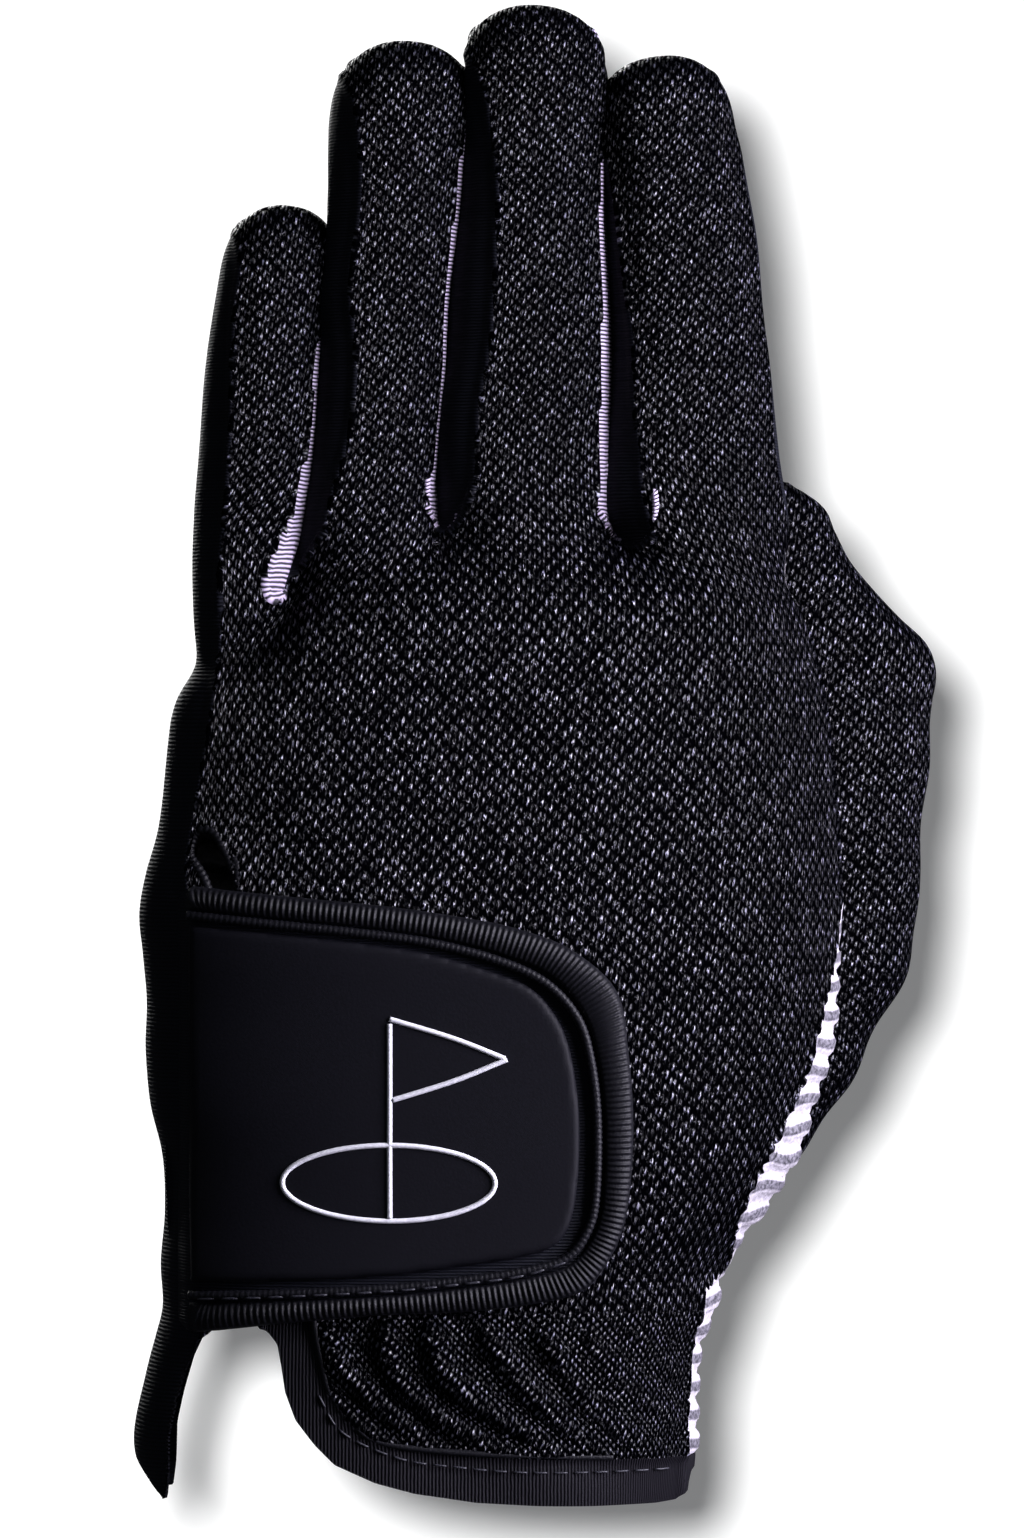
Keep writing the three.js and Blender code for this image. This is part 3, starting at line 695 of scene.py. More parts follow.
def finish(thing, look, nodes, body=None, bend=None):
    """Gives a piece its material, then hangs it on its body, or if a bend is given bakes its place
    into its mesh, and hides the parts that it stands for.
    """
    thing.data.materials.append(look)
    if bend:
        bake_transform(thing)
    else:
        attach(thing, body)
    if nodes:
        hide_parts(*nodes)
    return thing


def panel(name, mask, look, nodes, body="hand", bend=None):
    """One sewn panel of the skin."""
    thing = shell(name, skin, faces[mask], cloth, normals)
    return finish(thing, look, nodes, body, bend)


# Coarse knit: strands painted bright over black as painted glints, so the back sparkles; their
# specular also follows the lamps.
BACK_KNIT = knit("black_birdseye_knit", 1.3, 1.0)
panel("knit_back", pieces["back"], BACK_KNIT, ["back_panel"])


# --------------------------------------------------------------- side panel and tail
# Smooth stretch knit along the little-finger side, cut in one with the pointed tail below
# the tab.  It is sewn to the back and to the palm.
def stretch_knit(name, dark, light, period, level, across=1):
    """Fine stretch knit whose threads, a period apart in millimetres, lie side by side."""
    made, tree, shader = material(name)
    uv = add(tree, "UVMap", {"uv_map": "cloth"})
    place = add(tree, "SeparateXYZ", {}, uv).outputs[across]
    soft = add(tree, "TexNoise", FLAT, Vector=uv, Scale=0.8, Detail=3.0)
    turn = add(tree, "Math", MULTIPLY, place, 2 * math.pi / period)
    wave = add(tree, "Math", SINE, add(tree, "Math", MULTIPLY_ADD, soft, 2.0, turn))
    ridge = add(tree, "Math", MULTIPLY_ADD, wave, 0.5, 0.5)
    colour = add(tree, "ValToRGB", {"stops": [(0.15, dark), (0.9, light)]}, ridge)
    bump = add(tree, "Bump", {}, Height=ridge, Strength=0.6, Distance=0.2 * MM)
    tree.links.new(colour.outputs[0], shader.inputs["Base Color"])
    tree.links.new(bump.outputs[0], shader.inputs["Normal"])
    shader.inputs["Roughness"].default_value = 0.6
    shader.inputs["Specular IOR Level"].default_value = level
    return made


# Fine matt knit: nearly flat black, with hardly a highlight.
SIDE_KNIT = stretch_knit("black_stretch_knit_smooth", "#0a0b10", "#15161e", 0.5, 0.12)
panel("smooth_side_and_tail", pieces["side"], SIDE_KNIT, ["side_panel"])


# ------------------------------------------------------------------------------ palm
# Mottled grey knit with ribs of white silicone printed across it for grip.  Its edge
# shows between the back of the hand and the thumb.
def grip_fabric(name):
    """Mottled grey knit under ribs of white silicone, in step with the shaped ribs."""
    made, tree, shader = material(name)
    place = add(tree, "TexCoord", {}).outputs["Object"]
    spot = add(tree, "SeparateXYZ", {}, place)
    wave = add(tree, "Math", SINE, add(tree, "Math", MULTIPLY, spot, 0.9 / MM))
    sway = add(tree, "Math", MULTIPLY, wave, 0.35 * MM)
    high = add(tree, "Math", {"operation": "ADD"}, spot.outputs[2], sway)
    cycle = add(tree, "Math", {"operation": "DIVIDE"}, high, RIB_PERIOD * MM)
    part = add(tree, "Math", {"operation": "FRACT"}, cycle)
    off = add(tree, "Math", {"operation": "ABSOLUTE"}, add(tree, "Math", SUBTRACT, part, 0.5))
    past = add(tree, "Math", SUBTRACT, off, RIB_WIDE / RIB_PERIOD / 2 - 0.03)
    knitted = add(tree, "Math", MULTIPLY_CLAMPED, past, 14.0)
    white = add(tree, "Math", SUBTRACT, 1.0, knitted)
    mottle = add(tree, "TexNoise", {}, Vector=place, Scale=1600.0, Detail=3.0)
    grey = add(tree, "ValToRGB", {"stops": [(0.35, "#2f2e34"), (0.65, "#7b7880")]}, mottle)
    silicone = add(tree, "ValToRGB", {"stops": [(0.3, "#9d999f"), (0.7, "#c6c1c7")]}, mottle)
    mix = add(tree, "Mix", {"data_type": "RGBA"}, white)
    tree.links.new(grey.outputs[0], mix.inputs[6])
    tree.links.new(silicone.outputs[0], mix.inputs[7])
    bump = add(tree, "Bump", {}, Height=mottle, Strength=0.5, Distance=0.3 * MM)
    tree.links.new(mix.outputs[2], shader.inputs["Base Color"])
    tree.links.new(bump.outputs[0], shader.inputs["Normal"])
    shader.inputs["Roughness"].default_value = 0.55
    return made


# White ribs with a soft sheen over a speckled grey ground.
GRIP = grip_fabric("grip_knit_with_silicone_ribs")
panel("ribbed_palm", pieces["palm"], GRIP, ["palm_panel"])


# ------------------------------------------------------------------------------ cuff
# The wrist elastic shirrs the back below the tab, and the raw edge of the glove is folded
# into a smooth hem.  The shirred knit is drawn in, so its beads lie closer together.
# Its strand tops carry the same painted glints as the back.
FINE_KNIT = knit("black_shirred_knit", 0.8, 1.5)
panel("shirred_cuff", pieces["gather"], FINE_KNIT, ["cuff_gather"])

# Folded cloth, dark and dull, with faint upright threads.
HEM_KNIT = stretch_knit("black_folded_hem_knit", "#060609", "#121016", 0.45, 0.12, across=0)
panel("cuff_hem", pieces["hem"], HEM_KNIT, ["cuff_binding"])


# --------------------------------------------------------------------------- fingers
# Each finger is a birdseye back and a grip front, joined by two strips of stretch knit.
# The strips are one violet-grey knit; those that face away from the thumb, and the index finger's
# thumb-side strip, get the black side knit as painted shade.
FOURCHETTE = stretch_knit("violet_grey_overlocked_knit", "#14131b", "#b4a7c0", 0.63, 0.3)
for name, root_x, root_z, lean, extra, length, rows in FINGERS:
    along = Vector((math.sin(math.radians(lean)), 0, math.cos(math.radians(lean)))) * MM
    root = Vector((root_x, 0, root_z)) * MM
    bend = ("hand", name, root + along * 1.5, root + along * 19)
    panel(name + "_knit_back", pieces[name + "_back"], BACK_KNIT,
          [name + "_back"], bend=bend)
    panel(name + "_grip_front", pieces[name + "_palm"], GRIP,
          [name + "_palm"], bend=bend)
    # painted shade: the black side knit on the little-finger-side strip stands for shade on the
    # violet-grey fabric
    panel(name + "_strip_outer", pieces[name + "_little"], SIDE_KNIT,
          [name + "_strip_little_side"], bend=bend)
    # whether the thumb-side strip gets the violet-grey knit; the index finger's gets the black knit
    # as painted shade
    painted_lit = name != "index"
    panel(name + "_strip_inner", pieces[name + "_thumb"], FOURCHETTE if painted_lit else SIDE_KNIT,
          [name + "_strip_thumb_side"], bend=bend)


# ---------------------------------------------------------------------------- thumb
# The thumb is a tube of its own, knit on the back and grip fabric in front, folded
# across the palm so that it shows beside the hand.
# height, least X, greatest X, Y of the middle, half depth
THUMB = [
    [49, 54, 54.6, 7, 0.6], [53.5, 51, 57.6, 7.5, 3.5], [56, 50.5, 59.8, 7.8, 4.6],
    [60, 50.5, 62.9, 8, 5.4], [66.4, 51, 67.2, 8.2, 6.2], [73, 53, 70.5, 8.6, 6.8],
    [79.3, 54.5, 73.9, 8.8, 7.2], [85.3, 56, 77, 9, 7.6], [92.5, 56.5, 78.4, 9, 7.8],
    [101, 56.5, 78.7, 9.5, 7.8], [109, 56.5, 79.5, 10, 7.8], [117, 56.5, 80.2, 11, 7.6],
    [124, 56, 80.9, 12, 7.4], [129, 55, 81.5, 12.8, 7.2], [134, 54, 81.6, 13.8, 7],
    [137.5, 53, 80.2, 14.6, 7], [141.5, 52, 76.2, 15.6, 6.8], [146.4, 51, 72, 16.4, 6.6],
    [151, 50, 68.6, 17, 6.4], [156.6, 49.5, 65.8, 17.6, 6.2], [160.5, 50, 63.6, 18, 5.6],
    [163, 52.5, 60, 18.2, 4.4], [165, 56, 57, 18.2, 0.8],
]
thumb_low, thumb_high = (44, -2, 44), (88, 30, 170)
gx, gy, gz = grid_of(thumb_low, thumb_high, 0.8)
row = smooth(THUMB, gz[0, 0, :])
left, right, deep_at, deep = (row[:, i][None, None, :] for i in range(4))
level = ((np.abs(gx - (left + right) / 2) / np.maximum((right - left) / 2, 0.3)) ** ROUND
         + (np.abs(gy - deep_at) / np.maximum(deep, 0.3)) ** ROUND) ** (1 / ROUND)
level = np.maximum(level, np.abs(gz - 107) / 57.5)
thumb_values, thumb_faces = skin_of(distance(level, 0.8), thumb_low, 0.8)
thumb_row = smooth(THUMB, thumb_values[:, 2])
seam = thumb_values[:, 1] - thumb_row[:, 2] - 1.5
thumb_values, thumb_faces = cut(thumb_values, thumb_faces, seam)
thumb_row = smooth(THUMB, thumb_values[:, 2])
thumb_normals = normals_of(thumb_values, thumb_faces)
fold = 0.35 * np.sin(thumb_values[:, 2] * 0.33 + thumb_values[:, 0] * 0.2)
thumb_skin = thumb_values + thumb_normals * fold[:, None]
thumb_normals = normals_of(thumb_skin, thumb_faces)
half = np.maximum((thumb_row[:, 1] - thumb_row[:, 0]) / 2, 1)
across = np.clip((thumb_values[:, 0] - (thumb_row[:, 0] + thumb_row[:, 1]) / 2) / half, -1, 1)
thumb_cloth = np.stack([(thumb_values[:, 0] + 0.3 * half * across ** 7) / 1.1,
                        thumb_values[:, 2] / 1.1], 1)
face_seam = (thumb_values[:, 1] - thumb_row[:, 2] - 1.5)[thumb_faces].mean(1)
thumb_bend = ("hand", "thumb", Vector((54, 8, 52)) * MM, Vector((63, 8, 74)) * MM)
for name, mask, look, slot in (
        ("thumb_back", face_seam < 0, BACK_KNIT, "knit_back"),
        ("thumb_palm", face_seam >= 0, GRIP, "grip_palm")):
    thing = shell(name + "_cloth", thumb_skin, thumb_faces[mask], thumb_cloth, thumb_normals)
    finish(thing, look, [name], bend=thumb_bend)


# -------------------------------------------------------------- overlock at the crotches
# Between two fingers the strip is sewn in with overlock thread, whose short bars cross
# the seam one after another round the bottom of the crotch.
def curve(corners, step):
    """A smooth line through points, in even steps."""
    points = np.asarray(corners, float)
    points = np.concatenate([[2 * points[0] - points[1]], points,
                             [2 * points[-1] - points[-2]]])
    fine = []
    for a, b, c, d in zip(points[:-3], points[1:-2], points[2:-1], points[3:]):
        for t in np.linspace(0, 1, 24, endpoint=False):
            fine.append(0.5 * (2 * b + (c - a) * t + (2 * a - 5 * b + 4 * c - d) * t * t
                               + (3 * b - a - 3 * c + d) * t ** 3))
    fine = np.array(fine)
    run = np.concatenate([[0], np.cumsum(np.linalg.norm(np.diff(fine, axis=0), axis=1))])
    at = np.linspace(0, run[-1], max(int(round(run[-1] / step)), 2) + 1)
    return np.stack([np.interp(at, run, fine[:, i]) for i in range(fine.shape[1])], 1)


def tube_faces(rings, sides, closed):
    """Quads round a row of rings, and flat ends unless the row closes on itself."""
    i, j = np.meshgrid(np.arange(rings if closed else rings - 1), np.arange(sides),
                       indexing="ij")
    a, b = i * sides + j, i * sides + (j + 1) % sides
    c, d = (i + 1) % rings * sides + (j + 1) % sides, (i + 1) % rings * sides + j
    quads = np.stack([a, b, c, d], -1).reshape(-1, 4).tolist()
    if not closed:
        quads.append(list(range(sides - 1, -1, -1)))
        quads.append(list(range((rings - 1) * sides, rings * sides)))
    return quads


def quad_object(name, points, polygons, uv=None):
    """A smooth-shaded object from corners in millimetres."""
    mesh = bpy.data.meshes.new(name)
    mesh.from_pydata((np.asarray(points).reshape(-1, 3) * MM).tolist(), [], polygons)
    mesh.validate()
    mesh.shade_smooth()
    if uv is not None:
        layer = mesh.uv_layers.new(name="cloth")
        corner = np.zeros(len(mesh.loops), int)
        mesh.loops.foreach_get("vertex_index", corner)
        layer.data.foreach_set("uv", np.asarray(uv).reshape(-1, 2)[corner].ravel())
    thing = bpy.data.objects.new(name, mesh)
    bpy.context.scene.collection.objects.link(thing)
    return thing


def plain(name, colour, roughness, grain, scale, level, tint):
    """A moulded or spun material with a fine irregular surface."""
    made, tree, shader = material(name)
    place = add(tree, "TexCoord", {}).outputs["Object"]
    noise = add(tree, "TexNoise", {}, Vector=place, Scale=scale, Detail=4.0)
    shade = add(tree, "ValToRGB", {"stops": [(0.3, colour), (0.7, tint)]}, noise)
    bump = add(tree, "Bump", {}, Height=noise, Strength=grain, Distance=0.2 * MM)
    tree.links.new(shade.outputs[0], shader.inputs["Base Color"])
    tree.links.new(bump.outputs[0], shader.inputs["Normal"])
    shader.inputs["Roughness"].default_value = roughness
    shader.inputs["Specular IOR Level"].default_value = level
    return made


def bars(place, out, long, step, radius):
    """Short threads laid across a line, each sunk into the cloth at both ends."""
    run = np.concatenate([[0], np.cumsum(np.linalg.norm(np.diff(place, axis=0), axis=1))])
    at = np.arange(0, run[-1], step)
    place = np.stack([np.interp(at, run, place[:, i]) for i in range(3)], 1)
    out = np.stack([np.interp(at, run, out[:, i]) for i in range(3)], 1)
    out /= np.linalg.norm(out, axis=1, keepdims=True)
    ahead = np.gradient(place, axis=0)
    ahead /= np.linalg.norm(ahead, axis=1, keepdims=True)
    across = np.cross(ahead, out)
    rings, sides = 7, 6
    t = np.linspace(-1, 1, rings)
    turn = np.linspace(0, 2 * np.pi, sides, endpoint=False)
    points, polygons = [], []
    for p, o, f, c in zip(place, out, ahead, across):
        line = p + c * (t * long / 2)[:, None] + o * (radius * (1.8 - 2.6 * t ** 2))[:, None]
        line = line + f * (0.25 * step * t)[:, None]
        ring = f[None] * np.cos(turn)[:, None] + o[None] * np.sin(turn)[:, None]
        base = len(points) * rings * sides
        points.append((line[:, None] + ring[None] * radius).reshape(-1, 3))
        polygons += [[base + v for v in quad] for quad in tube_faces(rings, sides, False)]
    return np.concatenate(points), polygons


def on_the_front(line):
    """Where points of the picture plane lie on the front of the skin, and the way out."""
    front = np.flatnonzero((normals[:, 1] < -0.35) & (skin[:, 1] < -1))
    gap = (skin[front, 0] - line[:, :1]) ** 2 + (skin[front, 2] - line[:, 1:]) ** 2
    on = front[(gap + 0.3 * skin[front, 1]).argmin(1)]
    way, place = normals[on], skin[on].copy()
    place[:, 1] -= ((line[:, 0] - place[:, 0]) * way[:, 0]
                    + (line[:, 1] - place[:, 2]) * way[:, 2]) / way[:, 1]
    place[:, [0, 2]] = line
    return place, way


# Spun thread, paler than the strip that it holds and slightly shiny.
VIOLET_THREAD = plain("violet_grey_overlock_thread", "#a396b0", 0.55, 0.3, 3000.0, 0.4,
                      "#cdbfd8")
RING_CROTCH = [(-0.5, 164), (-0.4, 160.2), (0.8, 157.2), (2.7, 156.1), (4.2, 157.4), (4.5, 159)]
INDEX_CROTCH = [(27.2, 161.5), (27.9, 158), (29.6, 155.2), (32, 153.8), (34.4, 154.4),
                (35.9, 157.2), (36.1, 161), (35.3, 166), (33.8, 170.5)]
for name, line in (("ring_crotch", RING_CROTCH), ("index_crotch", INDEX_CROTCH)):
    place, out = on_the_front(curve(line, 0.3))
    place[1:-1] = (place[:-2] + place[1:-1] + place[2:]) / 3
    ends = bars(place, out, 1.1, 0.6, 0.22)
    finish(quad_object(f"{name}_overlock", *ends), VIOLET_THREAD, [],
           "hand")


# --------------------------------------------------------------------- strap of the tab
# The closure's strap: two layers of smooth knit sewn together.  It lies across the back
# of the wrist and is sewn down at its left edge, where it folds back when it opens.
def skin_point(x, z, height=0.0):
    """Points a height above the back of the hand, and the way out of it there."""
    x, z = np.asarray(x, float), np.asarray(z, float)
    row = smooth(HAND, z)
    wide, deep = (row[..., 1] - row[..., 0]) / 2, row[..., 2]
    t = np.clip((x - (row[..., 0] + row[..., 1]) / 2) / wide, -0.97, 0.97)
    y = -deep * (1 - np.abs(t) ** SQUARE) ** (1 / SQUARE)
    out = np.stack([np.sign(t) * np.abs(t) ** (SQUARE - 1) / wide,
                    -(np.abs(y) / deep) ** (SQUARE - 1) / deep, np.zeros_like(x)], -1)
    out /= np.linalg.norm(out, axis=-1, keepdims=True)
    place = np.stack([x, y, z], -1)
    return place + out * np.asarray(height, float)[..., None], out


def draped(name, outline, under, over, pitch=0.8, rounding=0.8, relief=None, flat=None,
           sink=None):
    """A sheet over the back of the hand inside an outline, between two heights above it."""
    outline = np.asarray(outline)
    low, high = outline.min(0) - 2, outline.max(0) + 2
    xs, zs = np.arange(low[0], high[0], pitch), np.arange(low[1], high[1], pitch)
    x, z = np.meshgrid(xs, zs, indexing="ij")
    index = np.arange(x.size).reshape(x.shape)
    a, b, c, d = index[:-1, :-1], index[1:, :-1], index[1:, 1:], index[:-1, 1:]
    faces = np.concatenate([np.stack([a, b, c], -1).reshape(-1, 3),
                            np.stack([a, c, d], -1).reshape(-1, 3)])
    flatland = np.stack([x.ravel(), z.ravel()], 1)
    flatland, faces = cut(flatland, faces, inside(outline, flatland[:, 0], flatland[:, 1]))
    deep = inside(outline, flatland[:, 0], flatland[:, 1])
    faces = faces[deep[faces].mean(1) > 0]
    used, numbered = np.unique(faces, return_inverse=True)
    faces, flatland, deep = numbered.reshape(-1, 3), flatland[used], deep[used]
    edge = 1 - np.clip(deep / rounding, 0, 1)
    height = over - (1 - np.sqrt(np.maximum(1 - edge ** 2, 0))) * min(rounding, over - under) * 0.8
    if relief is not None:
        height = height + relief(flatland[:, 0], flatland[:, 1], deep)
    lower = sink(flatland[:, 0]) if sink is not None else 0.0
    top, _ = skin_point(flatland[:, 0], flatland[:, 1], height - lower)
    base, _ = skin_point(flatland[:, 0], flatland[:, 1], under - lower)
    if flat is not None:
        top[:, 1] = np.maximum(top[:, 1], -flat)
    sides = np.concatenate([faces[:, [0, 1]], faces[:, [1, 2]], faces[:, [2, 0]]])
    n = len(flatland)
    rim = sides[~np.isin(sides[:, 0] * n + sides[:, 1], sides[:, 1] * n + sides[:, 0])]
    quads = np.stack([rim[:, 1], rim[:, 0], rim[:, 0] + n, rim[:, 1] + n], 1)
    polygons = faces.tolist() + (faces[:, ::-1] + n).tolist() + quads.tolist()
    return quad_object(name, np.concatenate([top, base]), polygons,
                       np.concatenate([flatland, flatland]))


EDGE = [(-36.8, 98.9), (-29.1, 98), (-15.8, 96.7), (-5.1, 95.6), (5.6, 94), (13.5, 92.4),
        (22.4, 89), (29.6, 82.4), (31.5, 72.6), (32.2, 59.5), (30.9, 46.3), (27.4, 38.3),
        (23.2, 34.3), (13.7, 32.3), (4.2, 31.4), (-8.5, 30.9), (-24.5, 29.3), (-36.8, 27.6)]
edge_line = curve(EDGE, 0.16)
strap = [*EDGE, (-41.4, 30), (-42.2, 45), (-42.6, 60), (-43, 80), (-42.4, 96)]
draped_strap = draped("tab_strap_cloth", strap, 2.2, 2.9, 0.9, 0.4,
                      sink=lambda x: 2.6 * step_up(-x, 36, 41.5))
finish(draped_strap, SIDE_KNIT, ["tab_strap"], "tab")


# ---------------------------------------------------------------------------- hook tape
# Moulded nylon hooks, sewn to the inside of the tab.
# They grip the loop tape when the tab is pressed down.
# Dull black nylon, too fine to see hook by hook, so it reads as a rough grain.
HOOKS = plain("moulded_nylon_hooks", "#0a0a0c", 0.5, 1.0, 2600.0, 0.5, "#1c1c20")
pad = [(-16, 91), (22, 86), (27, 78), (27.5, 50), (24, 39), (-16, 36)]
hooks = draped("tab_hook_tape", pad, 1.3, 2.1, 0.9, 0.3)
finish(hooks, HOOKS, ["tab_hook_pad"], "tab")


# ---------------------------------------------------------------------------- loop tape
# A pad of brushed nylon loops, sewn to the back of the hand under the tab.
# It is seen only when the tab is open.
# Fuzzy pile that takes almost no highlight.
PILE = plain("brushed_loop_pile", "#08080a", 0.85, 1.0, 1800.0, 0.2, "#1a1a1f")
pile_area = [(-20, 92), (24, 88), (30, 80), (30.5, 48), (26, 36), (-20, 33)]
pile = draped("loop_tape", pile_area, 0.1, 1.3, 0.9, 0.5,
              lambda x, z, d: 0.04 * np.sin(x * 2.9) * np.sin(z * 3.1))
finish(pile, PILE, ["loop_pad"], "hand")


# ------------------------------------------------------------------------- rubber patch
# A soft rubber patch, moulded in one with its flat face and rounded rim and sewn onto
# the strap.
# Satin moulded rubber: an even dark grey with a fine grain and a faint, broad sheen.
RUBBER = plain("moulded_soft_rubber", "#08080d", 0.6, 0.12, 2400.0, 0.12, "#0c0c12")
PATCH_FACE = 21.4
PATCH = [(-37, 92.7), (-26.4, 91.6), (-10.5, 89.9), (0.3, 88.2), (10.9, 85.1), (16.3, 82.7),
         (20, 78.5), (22.2, 73.2), (23.5, 65.2), (23.7, 57.1), (23, 49.2), (21.6, 44.4),
         (19, 41.7), (13.5, 40.1), (5.6, 38.9), (-5.1, 37.5), (-21.1, 36.4), (-37, 35.8)]
patch = draped("tab_rubber_patch", curve(PATCH, 0.5), 3.0, 4.0, 0.8, 0.7, flat=PATCH_FACE)
finish(patch, RUBBER, ["tab_patch"], "tab")


# -------------------------------------------------------------- elastic edge of the tab
# Woven elastic is folded over the tab's edge and sewn through, so its ribs run out
# across the edge.  The inner line and the edge are paired point by point.
# Black woven elastic: slightly shiny yarn, so the ribs catch a soft light.
ELASTIC = plain("black_woven_elastic", "#050507", 0.5, 0.5, 3000.0, 0.2, "#121218")
inner_line = curve([(-37.4, 95.4), (-26, 94.2), (-10, 92.6), (1.5, 90.9), (12, 88.2),
                    (19.5, 84.8), (24.4, 79), (26.7, 72), (27.8, 62), (27.5, 50),
                    (26, 43.8), (22, 38.9), (14, 36.6), (5.6, 35.4), (-5.1, 34.2),
                    (-21.1, 33.2), (-37, 32.4)], 0.16)
gap = np.linalg.norm(edge_line[:, None] - inner_line[None], axis=2)
nearest = np.maximum.accumulate(gap.argmin(1))
even = np.convolve(np.pad(nearest, 40, mode="edge"), np.ones(81) / 81, mode="valid")
even[0], even[-1] = 0, len(inner_line) - 1
inner_line = np.stack([np.interp(even, np.arange(len(inner_line)), inner_line[:, i])
                       for i in range(2)], 1)
ROWS = 12
q = np.linspace(0, 1, ROWS)
profile = 3.0 + 1.35 * np.sin(np.pi * np.clip(q * 0.8 + 0.14, 0, 1)) ** 0.7
profile[-1] = 2.6
run = np.concatenate([[0], np.cumsum(np.linalg.norm(np.diff(edge_line, axis=0), axis=1))])
ribs = 0.17 * np.sin(2 * np.pi * run[:, None] / 0.95 + 0.8 * q[None]) * np.sin(np.pi * q)[None] ** 0.5
upper = inner_line[:, None] * (1 - q)[None, :, None] + edge_line[:, None] * q[None, :, None]
lower = upper[:, ::-1]
top_points, _ = skin_point(upper[..., 0], upper[..., 1], profile[None] + ribs)
low_points, _ = skin_point(lower[..., 0], lower[..., 1], np.full(lower.shape[:2], 1.9))
ring = np.concatenate([top_points, low_points], 1)
binding = quad_object("tab_elastic_edge", ring[:, ::-1], tube_faces(len(ring), 2 * ROWS, False))
finish(binding, ELASTIC, ["tab_binding"], "tab")


# ---------------------------------------------------------------------------- cord welt
# A thin elastic cord sewn in along the inside of the binding, as a raised bead.
def round_section(count, radii, sides=10):
    """Round rings, as many as count, of one radius or of one radius each."""
    turn = np.linspace(0, 2 * np.pi, sides, endpoint=False)
    circle = np.stack([np.cos(turn), -np.sin(turn)], 1)
    return circle[None] * np.broadcast_to(radii, count)[:, None, None]


def sweep(name, line, out, section):
    """A section swept along a line; section gives each ring's (across, out) corners."""
    ahead = np.gradient(line, axis=0)
    ahead /= np.linalg.norm(ahead, axis=1, keepdims=True)
    side = np.cross(ahead, out)
    side /= np.linalg.norm(side, axis=1, keepdims=True)
    rings = line[:, None] + side[:, None] * section[..., :1] + out[:, None] * section[..., 1:]
    return quad_object(name, rings, tube_faces(len(line), section.shape[1], False))


cord_line = curve([(-37.2, 94.3), (-26, 93.1), (-10, 91.5), (1, 89.9), (11.4, 87.1),
                   (18.6, 83.6), (23.4, 78.2), (25.5, 71.5), (26.5, 62), (26.2, 50.2),
                   (24.8, 44.4), (21.2, 39.9), (13.8, 37.8), (5.6, 36.6), (-5.1, 35.4),
                   (-21.1, 34.4), (-37, 33.6)], 0.25)
place, out = skin_point(cord_line[:, 0], cord_line[:, 1], 3.7)
run = np.arange(len(cord_line)) * 0.25
welt = sweep("tab_cord_welt", place, out,
             round_section(len(place), 0.72 + 0.07 * np.sin(run * 7.5), 12))
finish(welt, ELASTIC, ["tab_welt"], "tab")


# ---------------------------------------------------------------------------- stitching
# Rows of lockstitch in twisted thread: along the foot of the tab and round the cuff.
# Each stitch is a short thread that dives into the cloth at both ends.
def bundle(name, tubes):
    """Several tubes as one object; each is its rings and whether it closes on itself."""
    points, polygons = [], []
    for rings, closed in tubes:
        base = sum(len(p) for p in points)
        polygons += [[base + v for v in quad] for quad in tube_faces(*rings.shape[:2], closed)]
        points.append(rings.reshape(-1, 3))
    return quad_object(name, np.concatenate(points), polygons)


def thread(place, out, radius):
    """Rings of one round thread along points on the cloth."""
    ahead = np.gradient(place, axis=0)
    ahead /= np.linalg.norm(ahead, axis=1, keepdims=True)
    side = np.cross(ahead, out)
    section = round_section(len(place), radius, 6)
    return place[:, None] + side[:, None] * section[..., :1] + out[:, None] * section[..., 1:]


def stitches(name, corners, long, gap, radius, height):
    """A row of stitches along a line, each as long as long, with gaps between them."""
    line = curve(corners, 0.2)
    step = int(round((long + gap) / 0.2))
    count = int(round(long / 0.2)) + 1
    t = np.linspace(-1, 1, count)
    tubes = []
    for start in range(0, len(line) - count, step):
        part = line[start:start + count]
        place, out = skin_point(part[:, 0], part[:, 1], height + radius * (0.6 - 1.5 * t ** 4))
        tubes.append((thread(place, out, radius), False))
    return bundle(name, tubes)


# Twisted thread, a little paler and shinier than the cloth that it holds.
THREAD = plain("black_twisted_thread", "#15151a", 0.5, 0.4, 4000.0, 0.5, "#2a2a33")
tab_seam = stitches("tab_stitching", [(-35, 33.2), (-21.1, 34.0), (-5.1, 35.0), (5.6, 36.1),
                                      (14.4, 37.3), (21.8, 39.6)], 2.4, 1.0, 0.2, 4.25)
finish(tab_seam, THREAD, [], "tab")
cuff_seam = stitches("cuff_stitching", [(-17.5, 18), (-13.7, 12.1), (-4.8, 8.0), (4.2, 6.6),
                                        (16.9, 5.6), (39.1, 5.6)], 2.2, 0.9, 0.17, 0.75)
finish(cuff_seam, THREAD, [], "hand")


# --------------------------------------------------------------------- bead of the cuff
# The cuff's edge is finished with a thin elastic cord along the hem.
bead_line = curve([p for p in CUFF_LINE if p[0] < 41], 0.25)
place, out = skin_point(bead_line[:, 0], bead_line[:, 1], 0.55)
bead = sweep("cuff_bead", place, out, round_section(len(place), 0.55, 10))
finish(bead, ELASTIC, [], "hand")


# ------------------------------------------------------------------ tape round the slit
# The keyhole and the slit below it are bound with a narrow folded tape.
slit_line = curve([(-27.2, 33), (-30.2, 97), (-31.4, 101.9), (-32.9, 105.2), (-34.3, 107.4),
                   (-36.1, 107.9), (-37.6, 106.6), (-38.2, 103.8), (-36.4, 101), (-35.2, 98),
                   (-33.8, 90), (-29.6, 33)], 0.2)
place, out = skin_point(slit_line[:, 0], slit_line[:, 1], 0.35)
run = np.arange(len(slit_line)) * 0.2
tape = sweep("slit_tape", place, out,
             round_section(len(place), 0.78 + 0.08 * np.sin(run * 7.5), 10))
finish(tape, ELASTIC, ["slit_binding"], "hand")


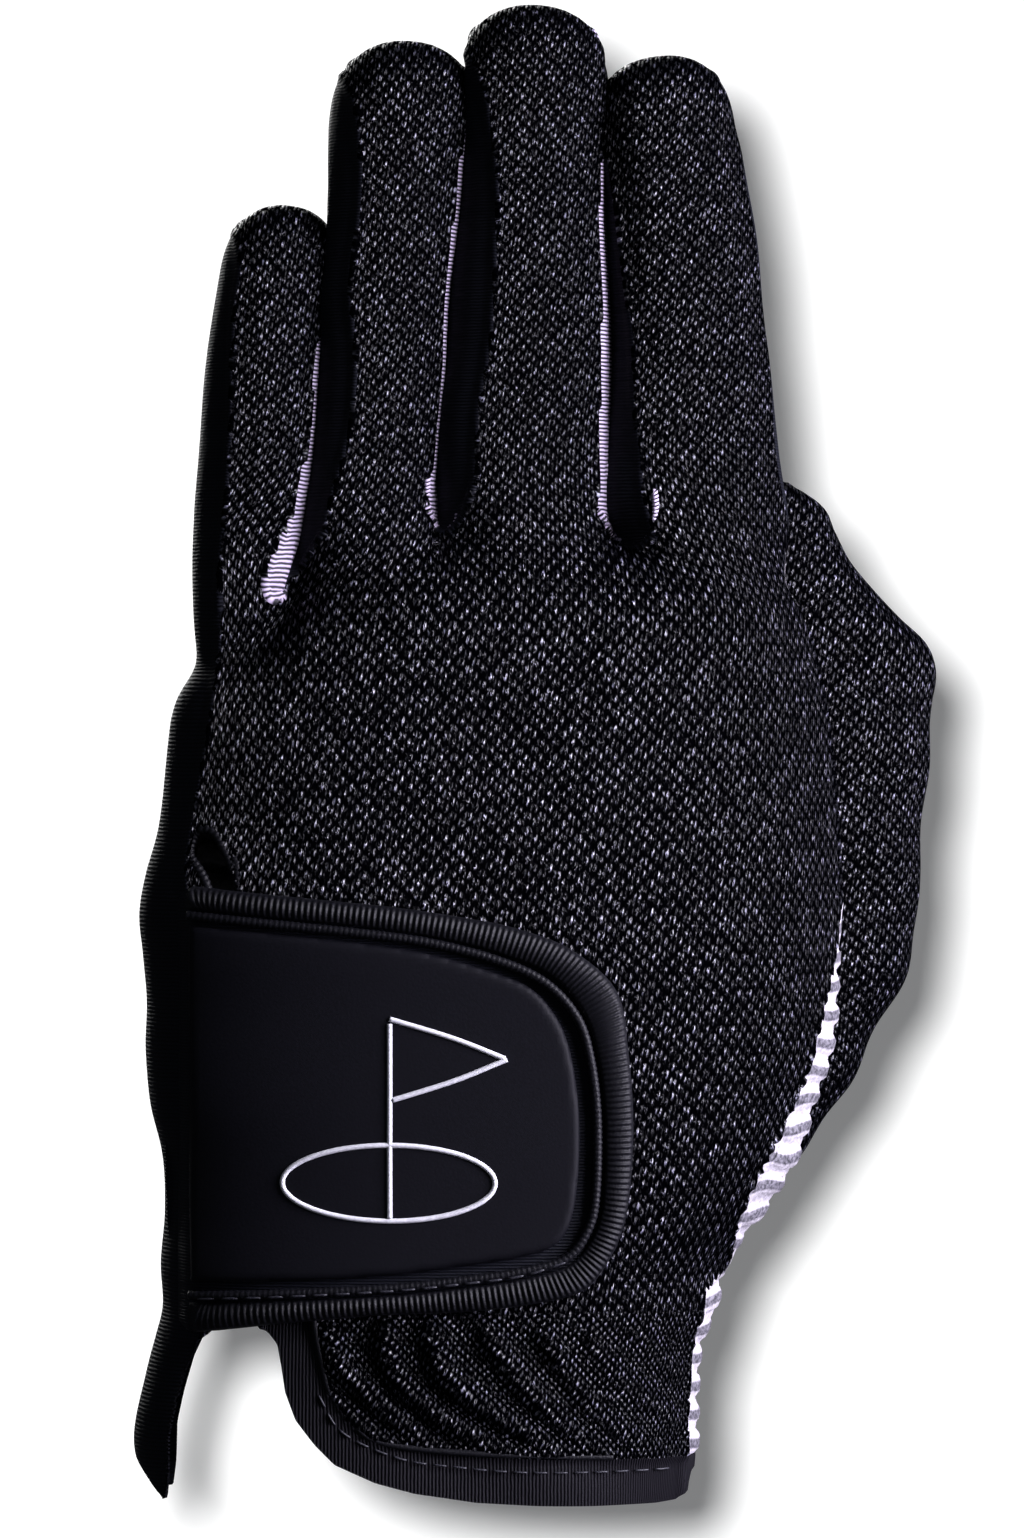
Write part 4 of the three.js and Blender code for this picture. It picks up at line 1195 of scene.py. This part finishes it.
# ----------------------------------------------------------------------------- bar tack
# Nine short stitches side by side stop the slit from tearing beside the keyhole.
tack = []
for k in range(9):
    line = curve([(-41.8 + 0.25 * k, 104.6 - 0.95 * k), (-38.9 + 0.25 * k, 105.2 - 0.95 * k)],
                 0.4)
    t = np.linspace(-1, 1, len(line))
    place, out = skin_point(line[:, 0], line[:, 1], 0.7 * (1 - t ** 2))
    tack.append((thread(place, out, 0.28), False))
finish(bundle("bar_tack_thread", tack), THREAD, ["bar_tack"], "hand")


# ------------------------------------------------------------------------------- emblem
# A plain pennant on a green, a raised line of print on the patch's flat face.
# Off-white print with a soft sheen, the only pale thing on the glove.
PRINT = plain("off_white_raised_print", "#c9c9ce", 0.4, 0.1, 2000.0, 0.5, "#e6e6ea")
PRINT_LINE = 0.42
turn = np.linspace(0, 2 * np.pi, 120, endpoint=False)
green = np.stack([-6 + 16.5 * np.cos(turn), 52 + 6 * np.sin(turn)], 1)
pole = curve([(-6, 46.4), (-6, 60), (-6, 78)], 0.4)
flag = curve([(-6, 78), (4, 74.9), (12.4, 71.6)], 0.3)
flag_foot = curve([(12.4, 71.6), (4, 68.2), (-6, 65)], 0.3)
emblem = []
for line, closed in ((green, True), (pole, False), (flag, False), (flag_foot, False)):
    place, _ = skin_point(line[:, 0], line[:, 1], 4.0)
    place[:, 1] = np.maximum(place[:, 1], -PATCH_FACE)
    out = np.tile([0.0, -1.0, 0.0], (len(line), 1))
    ahead = np.roll(place, -1, axis=0) - np.roll(place, 1, axis=0) if closed \
        else np.gradient(place, axis=0)
    ahead /= np.linalg.norm(ahead, axis=1, keepdims=True)
    side = np.cross(ahead, out)
    side /= np.linalg.norm(side, axis=1, keepdims=True)
    section = round_section(len(line), PRINT_LINE, 10)
    rings = place[:, None] + side[:, None] * section[..., :1] + out[:, None] * section[..., 1:]
    emblem.append((rings, closed))
finish(bundle("tab_emblem_print", emblem), PRINT, ["tab_emblem"], "tab")


# ------------------------------------------------------------------------ wrist elastic
# A band of elastic tape inside the heel of the palm, which draws the cloth together.
inner_x = np.linspace(-24, 39, 90)
inner_z = np.linspace(31, 40, 10)
ex, ez = np.meshgrid(inner_x, inner_z, indexing="ij")
front, _ = skin_point(ex, ez, -1.4)
front[..., 1] *= -1
thick, _ = skin_point(ex, ez, -2.1)
thick[..., 1] *= -1
ring = np.concatenate([front, thick[:, ::-1]], 1)
heel = quad_object("wrist_elastic_tape", ring, tube_faces(len(ring), 20, False))
finish(heel, ELASTIC, ["wrist_elastic"], "hand")


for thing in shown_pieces():
    receivers.objects.link(thing)
